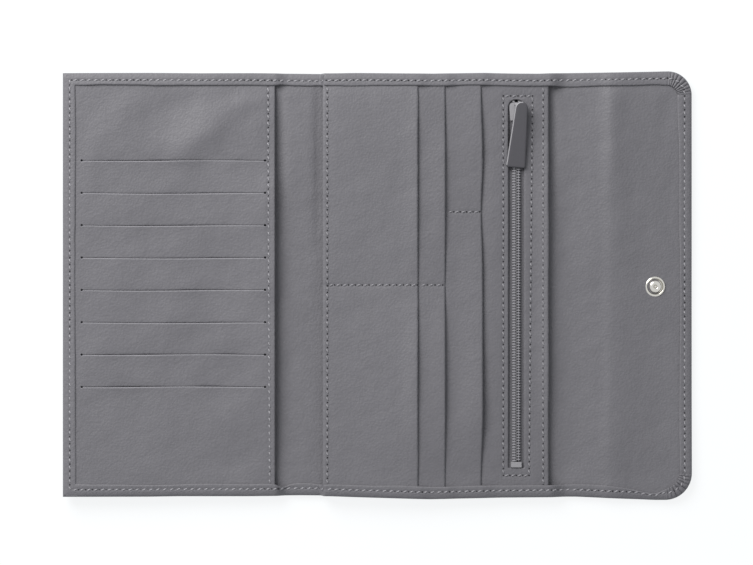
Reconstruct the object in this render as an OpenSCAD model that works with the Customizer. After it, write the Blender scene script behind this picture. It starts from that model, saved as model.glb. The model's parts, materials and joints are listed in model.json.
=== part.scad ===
/* [Wallet] */
// Height of the wallet, along its folds
wallet_h = 204; // [198:1:224]
// Width of the front cover, from its free edge to its fold
cover_w = 103.2; // [101:0.1:112]
// Width of the spine, between the cover's fold and the back's
spine_w = 20; // [18:0.5:26]
// Width of the back, between its two folds
back_w = 111.3; // [108:0.1:120]
// Width of the flap, from its fold to its free edge
flap_w = 42; // [38:0.5:56]
// Corner radius of the flap at the top
flap_r_top = 11.5; // [8:0.5:20]
// Corner radius of the flap at the bottom
flap_r_bottom = 13; // [8:0.5:20]

/* [Leather] */
// Thickness of the outer leather
shell_t = 1.2; // [1:0.1:1.5]
// Thickness of the outer leather where it is skived and turned in
turn_t = 0.8; // [0.6:0.1:1]
// Width of the turned-in edge
rim_w = 6; // [5:0.5:8]
// Radius of the bend round the wallet's edge
bend_r = 1.8; // [1.2:0.1:1.8]
// Thickness of the stiffening board
board_t = 0.8; // [0.6:0.1:1.2]
// Thickness of the lining leather
lining_t = 0.8; // [0.6:0.1:1.2]
// Thickness of the pocket leather
panel_t = 0.8; // [0.6:0.1:1.2]
// Thickness of the bag fabric
fabric_t = 0.3; // [0.2:0.05:0.4]
// Room in the full-height pocket behind each panel
slip_gap = 0.6; // [0.4:0.1:1]
// Distance that panels and turned edges stay back from a fold
fold_gap = 1.5; // [1.4:0.1:2]

/* [Card pockets] */
// Number of card slits
slit_count = 8; // [3:1:8]
// Length of a slit between its end holes
slit_w = 87.8; // [86.5:0.1:90]
// Distance from one slit to the next
slit_pitch = 15.5; // [14:0.1:15.8]
// Distance of the first slit from the top edge
first_slit = 42.1; // [38:0.1:46]
// Distance of the slits from the panel's open edge
slit_inset = 5.1; // [4:0.1:6]
// Width of the slit's cut
slit_cut = 0.4; // [0.3:0.05:0.8]
// Radius of the punched hole at each slit's end
slit_hole_r = 0.5; // [0.4:0.05:0.8]
// Depth of a card pocket below its slit
card_drop = 52; // [46:0.5:52]
// Width of the pocket sheet beyond each end of its slit
sheet_lap = 2; // [1:0.1:2.5]
// Thickness of a pocket sheet
sheet_t = 0.2; // [0.15:0.05:0.3]
// Room for a card between two pocket sheets
sheet_gap = 0.15; // [0.1:0.05:0.3]
// Thickness of the card panel's backing
backing_t = 0.4; // [0.3:0.1:0.8]

/* [Note pockets] */
// Width of the narrowest pocket, which lies on top
pocket_a_w = 45.6; // [40:0.1:50]
// Strip of the second pocket that shows beside the first
pocket_b_step = 13; // [8:0.5:16]
// Strip of the third pocket that shows beside the second
pocket_c_step = 17.3; // [8:0.1:18]

/* [Zip] */
// Distance of the zip from the panel's open edge
zip_inset = 15.55; // [14.5:0.05:17]
// Width of the zip's window
window_w = 7.4; // [7:0.1:8]
// Distance of the window from the wallet's top edge
window_top = 12.8; // [12:0.1:16]
// Distance of the window from the wallet's bottom edge
window_bottom = 14.6; // [12:0.1:18]
// Width of one tape
tape_w = 12; // [10:0.5:12]
// Thickness of a tape
tape_t = 0.4; // [0.3:0.05:0.6]
// Gap between the two tapes
tape_gap = 1.4; // [1.3:0.1:1.6]
// Width of the closed chain
chain_w = 4; // [3.8:0.1:4.2]
// Height of the coil above the tape
coil_h = 1.3; // [1.2:0.05:1.4]
// Distance from one coil loop to the next
coil_pitch = 1.3; // [1.25:0.05:1.6]
// Thickness of the coil's wire
coil_wire = 0.4; // [0.35:0.05:0.45]
// Thickness of a coil loop along the zip
loop_t = 0.55; // [0.4:0.05:0.55]
// How far a loop's head reaches past the zip's middle
head_reach = 0.45; // [0.3:0.05:0.5]
// Width of the bottom stop
stop_w = 5.4; // [4.4:0.1:6.4]

/* [Slider and pull] */
// Length of the slider
slider_l = 8.6; // [8:0.1:10]
// Width of the slider at its front
slider_w = 6.6; // [6.4:0.1:6.8]
// Thickness of the slider's two plates
slider_plate_t = 0.7; // [0.6:0.05:0.8]
// Width of the crown that carries the pull
crown_w = 1.6; // [1.4:0.1:2]
// Thickness of the crown's bow
crown_bow = 0.75; // [0.6:0.05:0.9]
// Length of the pull
pull_l = 31.7; // [24:0.1:34]
// Width of the pull at its head
pull_head_w = 6.1; // [5.8:0.1:7]
// Width of the pull at its tail
pull_tail_w = 9.1; // [7:0.1:10]
// Thickness of the pull
pull_t = 1.6; // [1.2:0.1:1.8]
// Angle at which the pull leans across the zip
pull_lean = 4.1; // [0:0.1:5]
// Radius of the pull's hook
hook_r = 0.5; // [0.45:0.05:0.55]

/* [Clasp] */
// Distance of the clasp from the flap's free edge
clasp_inset = 17.7; // [15:0.1:22]
// Distance of the clasp below the middle
clasp_drop = 0.5; // [0:0.1:10]
// Diameter of the stud's flange
stud_d = 10; // [9:0.1:11]
// Diameter of the stud's knob
knob_d = 5.9; // [5.5:0.1:6]
// Thickness of the stud's flange
stud_flange_t = 0.5; // [0.4:0.05:0.6]
// Height of the socket on the cover's outer face
socket_h = 1.8; // [1.7:0.1:2.2]
// Diameter of the socket
socket_d = 9.6; // [9.2:0.1:10]
// Radius of a clasp rivet's shank
shank_r = 1.4; // [1.2:0.05:1.5]
// Diameter of a clasp rivet's head
rivet_head_d = 8; // [7:0.1:8.4]
// Thickness of a clasp rivet's head
rivet_head_t = 0.4; // [0.3:0.05:0.5]
// Wire diameter of the socket's spring ring
spring_wire = 0.4; // [0.3:0.05:0.4]

/* [Hidden] */
$fn = 48;

// Clearances
fit = 0.1;
play = 0.12;
far = 400;

// Heights of the layers, from the table up
board_z = shell_t;
lining_z = board_z + board_t;
fold_z = lining_z + lining_t;
backing_z = fold_z + slip_gap;
sheet_angle = asin((sheet_t + sheet_gap) / slit_pitch);
sheet_room = card_drop * sin(sheet_angle) + sheet_t + 2 * sheet_gap;
card_face_z = backing_z + backing_t + sheet_room;
cover_stack = card_face_z + panel_t;
bag_back_z = fold_z + slip_gap;
bag_front_z = bag_back_z + fabric_t + slider_plate_t + 0.2;
tape_z = bag_front_z + fabric_t;
zip_panel_z = tape_z + tape_t;
pocket_c_z = zip_panel_z + panel_t;
pocket_b_z = pocket_c_z + panel_t;
pocket_a_z = pocket_b_z + panel_t;
back_stack = pocket_a_z + panel_t;
coil_top = zip_panel_z + coil_h;

// Places across the wallet
flap_spine_w = spine_w + fold_z + socket_h + stud_flange_t + 0.4;
wallet_w = cover_w + spine_w + back_w + flap_spine_w + flap_w;
left_x = -wallet_w / 2;
cover_fold_x = left_x + cover_w;
back_fold_x = cover_fold_x + spine_w;
flap_spine_fold_x = back_fold_x + back_w;
flap_fold_x = flap_spine_fold_x + flap_spine_w;
right_x = wallet_w / 2;
cover_edge_x = cover_fold_x - fold_gap;
back_edge_x = back_fold_x + fold_gap;
pocket_a_x = back_edge_x + pocket_a_w;
pocket_b_x = pocket_a_x + pocket_b_step;
pocket_c_x = pocket_b_x + pocket_c_step;
zip_edge_x = flap_spine_fold_x - fold_gap;

// Places along the wallet
top_y = wallet_h / 2;
inner_y = top_y - shell_t - fit;

// Zip
zip_x = zip_edge_x - zip_inset;
window_top_y = top_y - window_top;
window_bottom_y = window_bottom - top_y;
half_chain = chain_w / 2;
slider_front_y = window_top_y - 1.5;
slider_rear_y = slider_front_y - slider_l;
stop_l = 2.7;
bottom_stop_y = window_bottom_y + fit + stop_l;
slider_travel = slider_rear_y - bottom_stop_y - fit;
slider_plate_z = coil_top + 0.15;
crown_base_z = slider_plate_z + slider_plate_t;
crown_eye_r = hook_r + 0.15;
crown_r = crown_eye_r + crown_bow;
hook_z = crown_base_z + 1;
hook_y = slider_front_y - crown_r;
pull_rise = crown_r + 0.2;
pull_head_reach = slider_front_y + 0.5 - hook_y;
pull_pitch = asin((hook_z + pull_rise - coil_top - 0.1) / (pull_l - pull_head_reach));
pull_offset = 2.3;
diamond_l = 3.2;
diamond_y = slider_front_y - 0.2 - diamond_l;
spread_y = diamond_y - 1;

// Clasp
clasp_y = -clasp_drop;
stud_x = right_x - clasp_inset;
closed_clasp_x = flap_spine_fold_x - (stud_x - flap_fold_x);
socket_x = cover_fold_x - (closed_clasp_x - back_fold_x);
clasp_gap = flap_spine_w - spine_w - fold_z;
knob_h = clasp_gap - 0.35 - 0.15;

// The cover lies on the socket under it, and that tilts it a little
socket_arm = cover_fold_x - socket_x - socket_d / 2;
cover_tilt = atan((fold_z + socket_h) / socket_arm)
    - asin(fold_z / norm([socket_arm, fold_z + socket_h]));

echo(hinges = [back_fold_x, cover_fold_x, flap_spine_fold_x, flap_fold_x], z = fold_z);
echo(cover_tilt = cover_tilt, slider_travel = slider_travel, hook = [zip_x, hook_y, hook_z]);
echo(socket = [socket_x, clasp_y], stud = [stud_x, clasp_y], tops = [cover_stack, back_stack]);

// The space round a rounded corner whose sides run along +x and +y
module corner_waste(r)
    difference() {
        translate([-1, -1]) square(r + 1);
        translate([r, r]) circle(r);
    }

// Radius of the bend round an edge of a given height
function bend(top) = min(bend_r, top / 2 - 0.1);

// Section through a whole strip of the wallet, both long edges bent round
module strip_section(w, top) {
    r = bend(top);
    difference() {
        translate([-w / 2, 0]) square([w, top]);
        for (side = [0, 1]) mirror([side, 0]) translate([-w / 2, 0]) {
            corner_waste(r);
            translate([0, top]) mirror([0, 1]) corner_waste(r);
        }
    }
}

module strip_block(x0, x1, top)
    translate([x0, 0, 0]) rotate([90, 0, 90]) linear_extrude(x1 - x0) strip_section(wallet_h, top);

// A slab of a given layer, which stays clear of the bent edges
module layer(x0, x1, z, t, half = inner_y)
    translate([x0, -half, z]) cube([x1 - x0, 2 * half, t]);

// Outer leather close to a fold, with walls up to the fold's height
module plain_strip(x0, x1)
    difference() {
        strip_block(x0, x1, fold_z);
        layer(x0 - 1, x1 + 1, shell_t, far, top_y - shell_t);
    }

// Outer leather turned in over a stack, and down the step to the next stack
module turned_strip(x0, x1, stack, next_stack = 0) {
    step = next_stack > 0 ? turn_t : 0;
    difference() {
        strip_block(x0, x1 + step, stack + turn_t);
        layer(x0 - 1, x1 + (step > 0 ? 0 : 1), shell_t, stack - shell_t, top_y - shell_t);
        if (step > 0) layer(x0, x1 + step + 1, shell_t, next_stack - shell_t, top_y - shell_t);
        layer(x0 - 1, x1 + step + 1, shell_t, far, top_y - rim_w);
    }
}

// The cover's outer edge is bent round too
module cover_envelope()
    translate([0, far / 2, 0]) rotate([90, 0, 0]) linear_extrude(far)
        difference() {
            translate([left_x, 0]) square([cover_w, cover_stack + turn_t]);
            translate([left_x, 0]) corner_waste(bend(cover_stack + turn_t));
            translate([left_x, cover_stack + turn_t]) mirror([0, 1]) corner_waste(bend(cover_stack + turn_t));
        }

// Places a piece of the cover, tilted about the cover's fold
module on_cover()
    translate([cover_fold_x, 0, fold_z]) rotate([0, cover_tilt, 0])
        translate([-cover_fold_x, 0, -fold_z]) children();

module hole(x, r, z0, z1)
    translate([x, clasp_y, z0]) cylinder(r = r, h = z1 - z0);

// Leather panel with a rounded open edge on its right
module panel(x0, x1, z, t)
    union() {
        layer(x0, x1 - t / 2, z, t);
        translate([x1 - t / 2, inner_y, z + t / 2]) rotate([90, 0, 0]) cylinder(r = t / 2, h = 2 * inner_y);
    }

module back_shell()
    color("dimgray") union() {
        plain_strip(back_fold_x, back_edge_x);
        turned_strip(back_edge_x, pocket_a_x, back_stack, pocket_a_z);
        turned_strip(pocket_a_x, pocket_b_x, pocket_a_z, pocket_b_z);
        turned_strip(pocket_b_x, pocket_c_x, pocket_b_z, pocket_c_z);
        turned_strip(pocket_c_x, zip_edge_x, pocket_c_z);
        plain_strip(zip_edge_x, flap_spine_fold_x);
    }

module back_board()
    color("burlywood") layer(back_edge_x, zip_edge_x, board_z, board_t);

module back_lining()
    color("gray") difference() {
        layer(back_fold_x, flap_spine_fold_x, board_z, board_t + lining_t);
        layer(back_edge_x, zip_edge_x, board_z - 1, board_t + 1, top_y);
    }

module bag_back()
    color("darkslategray") layer(back_edge_x + 1, zip_edge_x - 1, bag_back_z, fabric_t);

module bag_front()
    color("darkslategray") layer(back_edge_x + 1, zip_x - tape_w / 2, bag_front_z, fabric_t);

module zip_tape(side)
    translate([zip_x, 0, 0]) mirror([side < 0 ? 1 : 0, 0, 0])
        layer(tape_gap / 2, tape_gap / 2 + tape_w, tape_z, tape_t);

module zip_tape_left()
    color("slategray") zip_tape(-1);

module zip_tape_right()
    color("slategray") zip_tape(1);

module stadium(x0, x1, r)
    union() {
        translate([x0 + r, -r]) square([x1 - x0 - 2 * r, 2 * r]);
        for (x = [x0 + r, x1 - r]) translate([x, 0]) circle(r);
    }

// One loop of the coil, seen along the zip: its head lies past the zip's middle
module coil_loop(y, shift)
    translate([shift, y, zip_panel_z + coil_h / 2]) rotate([90, 0, 0])
        linear_extrude(loop_t, center = true) difference() {
            stadium(-head_reach, half_chain, coil_h / 2);
            stadium(-head_reach + coil_wire, half_chain - coil_wire, coil_h / 2 - coil_wire);
        }

// Loops part on both sides of the slider's diamond
function spread(y) = max(0, min(1.15, (y - spread_y) * 0.6));

module zip_coil(side, first) {
    count = floor((slider_front_y - bottom_stop_y - first - loop_t) / coil_pitch);
    ys = [for (i = [0:count]) bottom_stop_y + first + i * coil_pitch];
    cord_l = spread_y - bottom_stop_y - 0.5;
    translate([zip_x, 0, 0]) mirror([side < 0 ? 1 : 0, 0, 0]) {
        for (y = ys) coil_loop(y, spread(y));
        translate([half_chain / 2, spread_y, zip_panel_z + coil_h / 2]) rotate([90, 0, 0])
            cylinder(r = coil_h / 2 - coil_wire + 0.05, h = cord_l);
    }
}

module zip_coil_left()
    color("lightslategray") zip_coil(-1, 0.6);

module zip_coil_right()
    color("lightslategray") zip_coil(1, 0.6 + coil_pitch / 2);

module zip_top_stops()
    color("silver") for (side = [-1, 1])
        translate([zip_x + side * (tape_gap / 2 + 0.6), slider_front_y + 0.45, zip_panel_z])
            translate([-0.5, -0.3, 0]) cube([1, 0.75, 1]);

// Clip across both tapes with its upper edges broken
module zip_bottom_stop() {
    broken = 0.3;
    stop_h = coil_h + 0.1;
    color("silver") translate([zip_x, bottom_stop_y, zip_panel_z]) rotate([90, 0, 0])
        linear_extrude(stop_l)
            polygon([[-stop_w / 2, 0], [stop_w / 2, 0], [stop_w / 2, stop_h - broken],
                [stop_w / 2 - broken, stop_h], [broken - stop_w / 2, stop_h],
                [-stop_w / 2, stop_h - broken]]);
}

// The window has a round top and a square bottom
module zip_window()
    translate([zip_x, 0, zip_panel_z - 1]) linear_extrude(panel_t + 2) {
        translate([-window_w / 2, window_bottom_y])
            square([window_w, window_top_y - window_bottom_y - window_w / 2]);
        translate([0, window_top_y - window_w / 2]) circle(window_w / 2);
    }

module zip_panel()
    color("dimgray") difference() {
        union() {
            panel(back_edge_x, zip_edge_x, zip_panel_z, panel_t);
            layer(zip_edge_x - 7, zip_edge_x - panel_t / 2, zip_panel_z - tape_t - fabric_t, panel_t);
        }
        translate([-far, 0, 0]) layer(0, far + zip_x + tape_gap / 2 + tape_w + fit, 0, zip_panel_z, top_y);
        zip_window();
    }

module pocket_c()
    color("gray") panel(back_edge_x, pocket_c_x, pocket_c_z, panel_t);

module pocket_b()
    color("gray") panel(back_edge_x, pocket_b_x, pocket_b_z, panel_t);

module pocket_a()
    color("gray") panel(back_edge_x, pocket_a_x, pocket_a_z, panel_t);

module cover_shell()
    color("dimgray") on_cover() difference() {
        intersection() {
            union() {
                strip_block(left_x, cover_edge_x, cover_stack + turn_t);
                strip_block(cover_edge_x, cover_fold_x, fold_z);
            }
            cover_envelope();
        }
        layer(left_x + shell_t, cover_edge_x + 1, shell_t, cover_stack - shell_t, top_y - shell_t);
        layer(left_x + rim_w, cover_edge_x + 1, shell_t, far, top_y - rim_w);
        layer(cover_edge_x - 1, cover_fold_x + 1, shell_t, cover_stack - shell_t, top_y - shell_t);
        hole(socket_x, shank_r, -1, shell_t + 1);
    }

module cover_board()
    color("burlywood") on_cover() difference() {
        layer(left_x + shell_t + fit, cover_edge_x, board_z, board_t);
        hole(socket_x, shank_r, board_z - 1, lining_z + 1);
        hole(socket_x, rivet_head_d / 2 + fit, lining_z - rivet_head_t, lining_z + 1);
    }

module cover_lining()
    color("gray") on_cover() difference() {
        layer(left_x + shell_t + fit, cover_fold_x, board_z, board_t + lining_t);
        layer(left_x, cover_edge_x, board_z - 1, board_t + 1, top_y);
    }

module card_backing()
    color("darkslategray") on_cover()
        layer(left_x + shell_t + fit, cover_edge_x - panel_t, backing_z, backing_t);

slits_right_x = cover_edge_x - slit_inset;
slits_left_x = slits_right_x - slit_w;
function slit_y(i) = top_y - first_slit - (i - 1) * slit_pitch;

// A sheet hangs from the back of the face above its slit and slopes down behind the next ones
module card_pocket(i)
    color("lightgray") on_cover()
        translate([slits_left_x - sheet_lap, slit_y(i) + 1.5, card_face_z - sheet_gap])
            rotate([sheet_angle, 0, 0]) translate([0, -card_drop, -sheet_t])
                cube([slit_w + 2 * sheet_lap, card_drop, sheet_t]);

module slit(y)
    translate([0, y]) {
        translate([slits_left_x, -slit_cut / 2]) square([slit_w, slit_cut]);
        for (x = [slits_left_x, slits_right_x]) translate([x, 0]) circle(slit_hole_r);
    }

// The face leather is slit for each card and bent down over the panel's open edge
module card_face()
    color("gray") on_cover() difference() {
        union() {
            layer(left_x + shell_t + fit, cover_edge_x - panel_t, card_face_z, panel_t);
            layer(cover_edge_x - panel_t, cover_edge_x, backing_z, card_face_z - backing_z);
            translate([cover_edge_x - panel_t, inner_y, card_face_z]) rotate([90, 0, 0])
                cylinder(r = panel_t, h = 2 * inner_y);
        }
        layer(left_x, cover_edge_x - panel_t, backing_z - 1, card_face_z - backing_z + 1);
        translate([0, 0, card_face_z - 1]) linear_extrude(panel_t + 2)
            for (i = [1:slit_count]) slit(slit_y(i));
    }

// Socket with its mouth down: a base with a ring wall, grooved for the spring
module clasp_socket()
    color("silver") on_cover() translate([socket_x, clasp_y, 0]) mirror([0, 0, 1])
        rotate_extrude() difference() {
            union() {
                translate([shank_r, 0]) square([socket_d / 2 - 0.4 - shank_r, socket_h]);
                translate([socket_d / 2 - 0.5, 0]) square([0.5, socket_h - 0.4]);
                translate([socket_d / 2 - 0.4, socket_h - 0.4]) circle(0.4);
            }
            translate([0, 0.35]) square([knob_d / 2 + 0.35, socket_h]);
            translate([0, socket_h - 0.8]) square([knob_d / 2 + 0.35 + spring_wire, 0.5]);
        }

// Split ring in the socket's groove
module clasp_spring()
    color("silver") on_cover() translate([socket_x, clasp_y, -socket_h + 0.55])
        rotate([0, 0, 20]) rotate_extrude(angle = 320)
            translate([knob_d / 2 + 0.1 + spring_wire / 2 + 0.05, 0]) circle(spring_wire / 2);

module rivet(head_z, head_up, shank_to)
    union() {
        translate([0, 0, head_up > 0 ? head_z : head_z - rivet_head_t])
            cylinder(d = rivet_head_d, h = rivet_head_t);
        translate([0, 0, min(head_z, shank_to)]) cylinder(r = shank_r, h = abs(head_z - shank_to));
    }

module clasp_socket_rivet()
    color("silver") on_cover() translate([socket_x, clasp_y, 0]) rivet(lining_z, -1, -0.35);

module spine_shell()
    color("dimgray") union() {
        plain_strip(cover_fold_x, cover_fold_x + fold_gap);
        turned_strip(cover_fold_x + fold_gap, back_fold_x - fold_gap, fold_z);
        plain_strip(back_fold_x - fold_gap, back_fold_x);
    }

module spine_stiffener()
    color("burlywood") layer(cover_fold_x + fold_gap, back_fold_x - fold_gap, board_z, board_t);

module spine_lining()
    color("gray") difference() {
        layer(cover_fold_x, back_fold_x, board_z, board_t + lining_t);
        layer(cover_fold_x + fold_gap, back_fold_x - fold_gap, board_z - 1, board_t + 1, top_y);
    }

module flap_spine_shell()
    color("dimgray") union() {
        plain_strip(flap_spine_fold_x, flap_spine_fold_x + fold_gap);
        turned_strip(flap_spine_fold_x + fold_gap, flap_fold_x - fold_gap, fold_z);
        plain_strip(flap_fold_x - fold_gap, flap_fold_x);
    }

module flap_spine_stiffener()
    color("burlywood") layer(flap_spine_fold_x + fold_gap, flap_fold_x - fold_gap, board_z, board_t);

module flap_spine_lining()
    color("gray") difference() {
        layer(flap_spine_fold_x, flap_fold_x, board_z, board_t + lining_t);
        layer(flap_spine_fold_x + fold_gap, flap_fold_x - fold_gap, board_z - 1, board_t + 1, top_y);
    }

// Outline of the flap from x0 outwards, drawn in from its free edges
module flap_outline(x0, inset)
    difference() {
        translate([x0, inset - top_y]) square([right_x - inset - x0, wallet_h - 2 * inset]);
        translate([right_x - inset, top_y - inset]) rotate(180) corner_waste(flap_r_top - inset);
        translate([right_x - inset, inset - top_y]) rotate(90) corner_waste(flap_r_bottom - inset);
    }

module flap_layer(x0, inset, z, t)
    translate([0, 0, z]) linear_extrude(t) flap_outline(x0, inset);

// Section through a turned edge, with the edge's outside at x = 0
module turned_section()
    difference() {
        square([rim_w, fold_z + turn_t]);
        corner_waste(bend(fold_z + turn_t));
        translate([0, fold_z + turn_t]) mirror([0, 1]) corner_waste(bend(fold_z + turn_t));
        translate([shell_t, shell_t]) square([rim_w, fold_z - shell_t]);
    }

module flap_corner(r, turn)
    rotate([0, 0, turn]) rotate_extrude(angle = 90) translate([r, 0]) mirror([1, 0]) turned_section();

module flap_shell()
    color("dimgray") union() {
        plain_strip(flap_fold_x, flap_fold_x + fold_gap);
        flap_layer(flap_fold_x + fold_gap, rim_w - 1, 0, shell_t);
        translate([flap_fold_x + fold_gap, -top_y, 0]) rotate([90, 0, 90])
            linear_extrude(flap_w - fold_gap - flap_r_bottom) turned_section();
        translate([flap_fold_x + fold_gap, top_y, 0]) mirror([0, 1, 0]) rotate([90, 0, 90])
            linear_extrude(flap_w - fold_gap - flap_r_top) turned_section();
        translate([right_x, top_y - flap_r_top, 0]) mirror([1, 0, 0]) rotate([90, 0, 0])
            linear_extrude(wallet_h - flap_r_top - flap_r_bottom) turned_section();
        translate([right_x - flap_r_top, top_y - flap_r_top, 0]) flap_corner(flap_r_top, 0);
        translate([right_x - flap_r_bottom, flap_r_bottom - top_y, 0]) flap_corner(flap_r_bottom, -90);
    }

module flap_board()
    color("burlywood") difference() {
        flap_layer(flap_fold_x + fold_gap, shell_t + fit, board_z, board_t);
        hole(stud_x, shank_r, board_z - 1, lining_z + 1);
        hole(stud_x, rivet_head_d / 2 + fit, board_z - 1, board_z + rivet_head_t);
    }

module flap_lining()
    color("gray") difference() {
        flap_layer(flap_fold_x, shell_t + fit, board_z, board_t + lining_t);
        layer(flap_fold_x + fold_gap, right_x, board_z - 1, board_t + 1, top_y);
        hole(stud_x, shank_r, board_z, fold_z + 1);
    }

// Stud: a flange with a raised rim, and a necked knob with a dimple
module clasp_stud()
    color("silver") translate([stud_x, clasp_y, fold_z]) difference() {
        rotate_extrude() difference() {
            union() {
                square([stud_d / 2 - stud_flange_t / 2, stud_flange_t]);
                translate([stud_d / 2 - stud_flange_t / 2, stud_flange_t / 2]) circle(stud_flange_t / 2);
                square([knob_d / 2 - 0.25, knob_h - 0.3]);
                translate([0, knob_h - 0.8]) square([knob_d / 2 - 0.4, 0.8]);
                translate([knob_d / 2 - 0.4, knob_h - 0.4]) circle(0.4);
            }
            square([shank_r, stud_flange_t]);
        }
        translate([0, 0, knob_h - 0.9]) cylinder(r = knob_d / 6, h = 2);
    }

module clasp_stud_rivet()
    color("silver") translate([stud_x, clasp_y, 0]) rivet(board_z, 1, fold_z + stud_flange_t);

// Outline of both slider plates, wider at the front
module slider_outline() {
    nose_r = 1.6;
    tail_w = slider_w - 0.8;
    difference() {
        polygon([[-tail_w / 2, slider_rear_y], [tail_w / 2, slider_rear_y],
            [slider_w / 2, diamond_y], [slider_w / 2, slider_front_y],
            [-slider_w / 2, slider_front_y], [-slider_w / 2, diamond_y]]);
        for (side = [0, 1]) mirror([side, 0]) translate([slider_w / 2, slider_front_y]) rotate(180)
            corner_waste(nose_r);
    }
}

// Crown seen from the side: an eye at the front for the hook, and a bow that falls to the tail
// beside the pull
module crown_side() {
    bow_l = hook_y - slider_rear_y - 1.2;
    slot_l = 3;
    foot = crown_base_z - 0.3 - hook_z;
    translate([hook_y, hook_z]) difference() {
        union() {
            circle(crown_r);
            rotate(pull_pitch) difference() {
                translate([-bow_l, -crown_r]) square([bow_l, 2 * crown_r]);
                translate([-bow_l, crown_r]) mirror([0, 1]) corner_waste(1);
            }
            translate([-bow_l, foot]) square([bow_l + crown_r, 1]);
        }
        rotate(pull_pitch) stadium(-slot_l, crown_eye_r, crown_eye_r);
        translate([-2 * bow_l, foot - far]) square([3 * bow_l, far]);
    }
}

module zip_slider()
    color("darkgray") translate([zip_x, 0, 0]) union() {
        for (z = [slider_plate_z, tape_z - play - slider_plate_t])
            translate([0, 0, z]) linear_extrude(slider_plate_t) slider_outline();
        translate([0, 0, tape_z - play - 0.2]) linear_extrude(slider_plate_z - tape_z + play + 0.4)
            polygon([[0, diamond_y], [tape_gap / 2 - play, diamond_y + diamond_l * 0.6],
                [tape_gap / 2 - play, diamond_y + diamond_l], [-tape_gap / 2 + play, diamond_y + diamond_l],
                [-tape_gap / 2 + play, diamond_y + diamond_l * 0.6]]);
        for (side = [-1, 1])
            translate([side * (half_chain + 0.15 + 0.3) - 0.3, slider_rear_y, zip_panel_z + play])
                cube([0.6, spread_y - slider_rear_y, slider_plate_z - zip_panel_z - play + 0.1]);
        translate([-crown_w / 2, 0, 0]) rotate([90, 0, 90]) linear_extrude(crown_w) crown_side();
    }

// Blade seen from above, with the middle of its round head at the origin
module pull_outline() {
    tail = pull_l - pull_head_w / 2;
    corner = 0.8;
    union() {
        circle(pull_head_w / 2);
        polygon([[-pull_head_w / 2, 0], [pull_head_w / 2, 0], [pull_tail_w / 2, corner - tail],
            [pull_tail_w / 2 - corner, -tail], [corner - pull_tail_w / 2, -tail],
            [-pull_tail_w / 2, corner - tail]]);
    }
}

// Blade over the crown, with a lug beside the crown and a hook through its eye
module zip_pull() {
    lug_w = 1;
    lug_x = crown_w / 2 + 0.2;
    lug_r = hook_r + 0.3;
    color("gray") translate([zip_x, hook_y, hook_z]) rotate([pull_pitch, 0, 0]) union() {
        translate([pull_offset, pull_head_reach - pull_head_w / 2, pull_rise])
            rotate([0, 0, -pull_lean]) linear_extrude(pull_t) pull_outline();
        translate([lug_x, 0, 0]) rotate([90, 0, 90]) linear_extrude(lug_w) {
            circle(lug_r);
            translate([-lug_r, 0]) square([2 * lug_r, pull_rise + 0.2]);
        }
        translate([-crown_w / 2 - 0.2, 0, 0]) rotate([0, 90, 0]) cylinder(r = hook_r, h = lug_x + crown_w / 2 + 0.4);
    }
}

back_shell();
back_board();
back_lining();
bag_back();
bag_front();
zip_tape_left();
zip_tape_right();
zip_coil_left();
zip_coil_right();
zip_top_stops();
zip_bottom_stop();
zip_panel();
pocket_c();
pocket_b();
pocket_a();
cover_shell();
cover_board();
cover_lining();
card_backing();
card_pocket(1);  // card_pocket_1
card_pocket(2);  // card_pocket_2
card_pocket(3);  // card_pocket_3
card_pocket(4);  // card_pocket_4
card_pocket(5);  // card_pocket_5
card_pocket(6);  // card_pocket_6
card_pocket(7);  // card_pocket_7
card_pocket(8);  // card_pocket_8
card_face();
clasp_socket();
clasp_spring();
clasp_socket_rivet();
spine_shell();
spine_stiffener();
spine_lining();
flap_spine_shell();
flap_spine_stiffener();
flap_spine_lining();
flap_shell();
flap_board();
flap_lining();
clasp_stud();
clasp_stud_rivet();
zip_slider();
zip_pull();
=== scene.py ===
"""Open leather coupon wallet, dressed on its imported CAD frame. Lengths are in millimetres up to
the point where a mesh is made; Blender's own values are in metres."""

import json
import math

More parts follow.
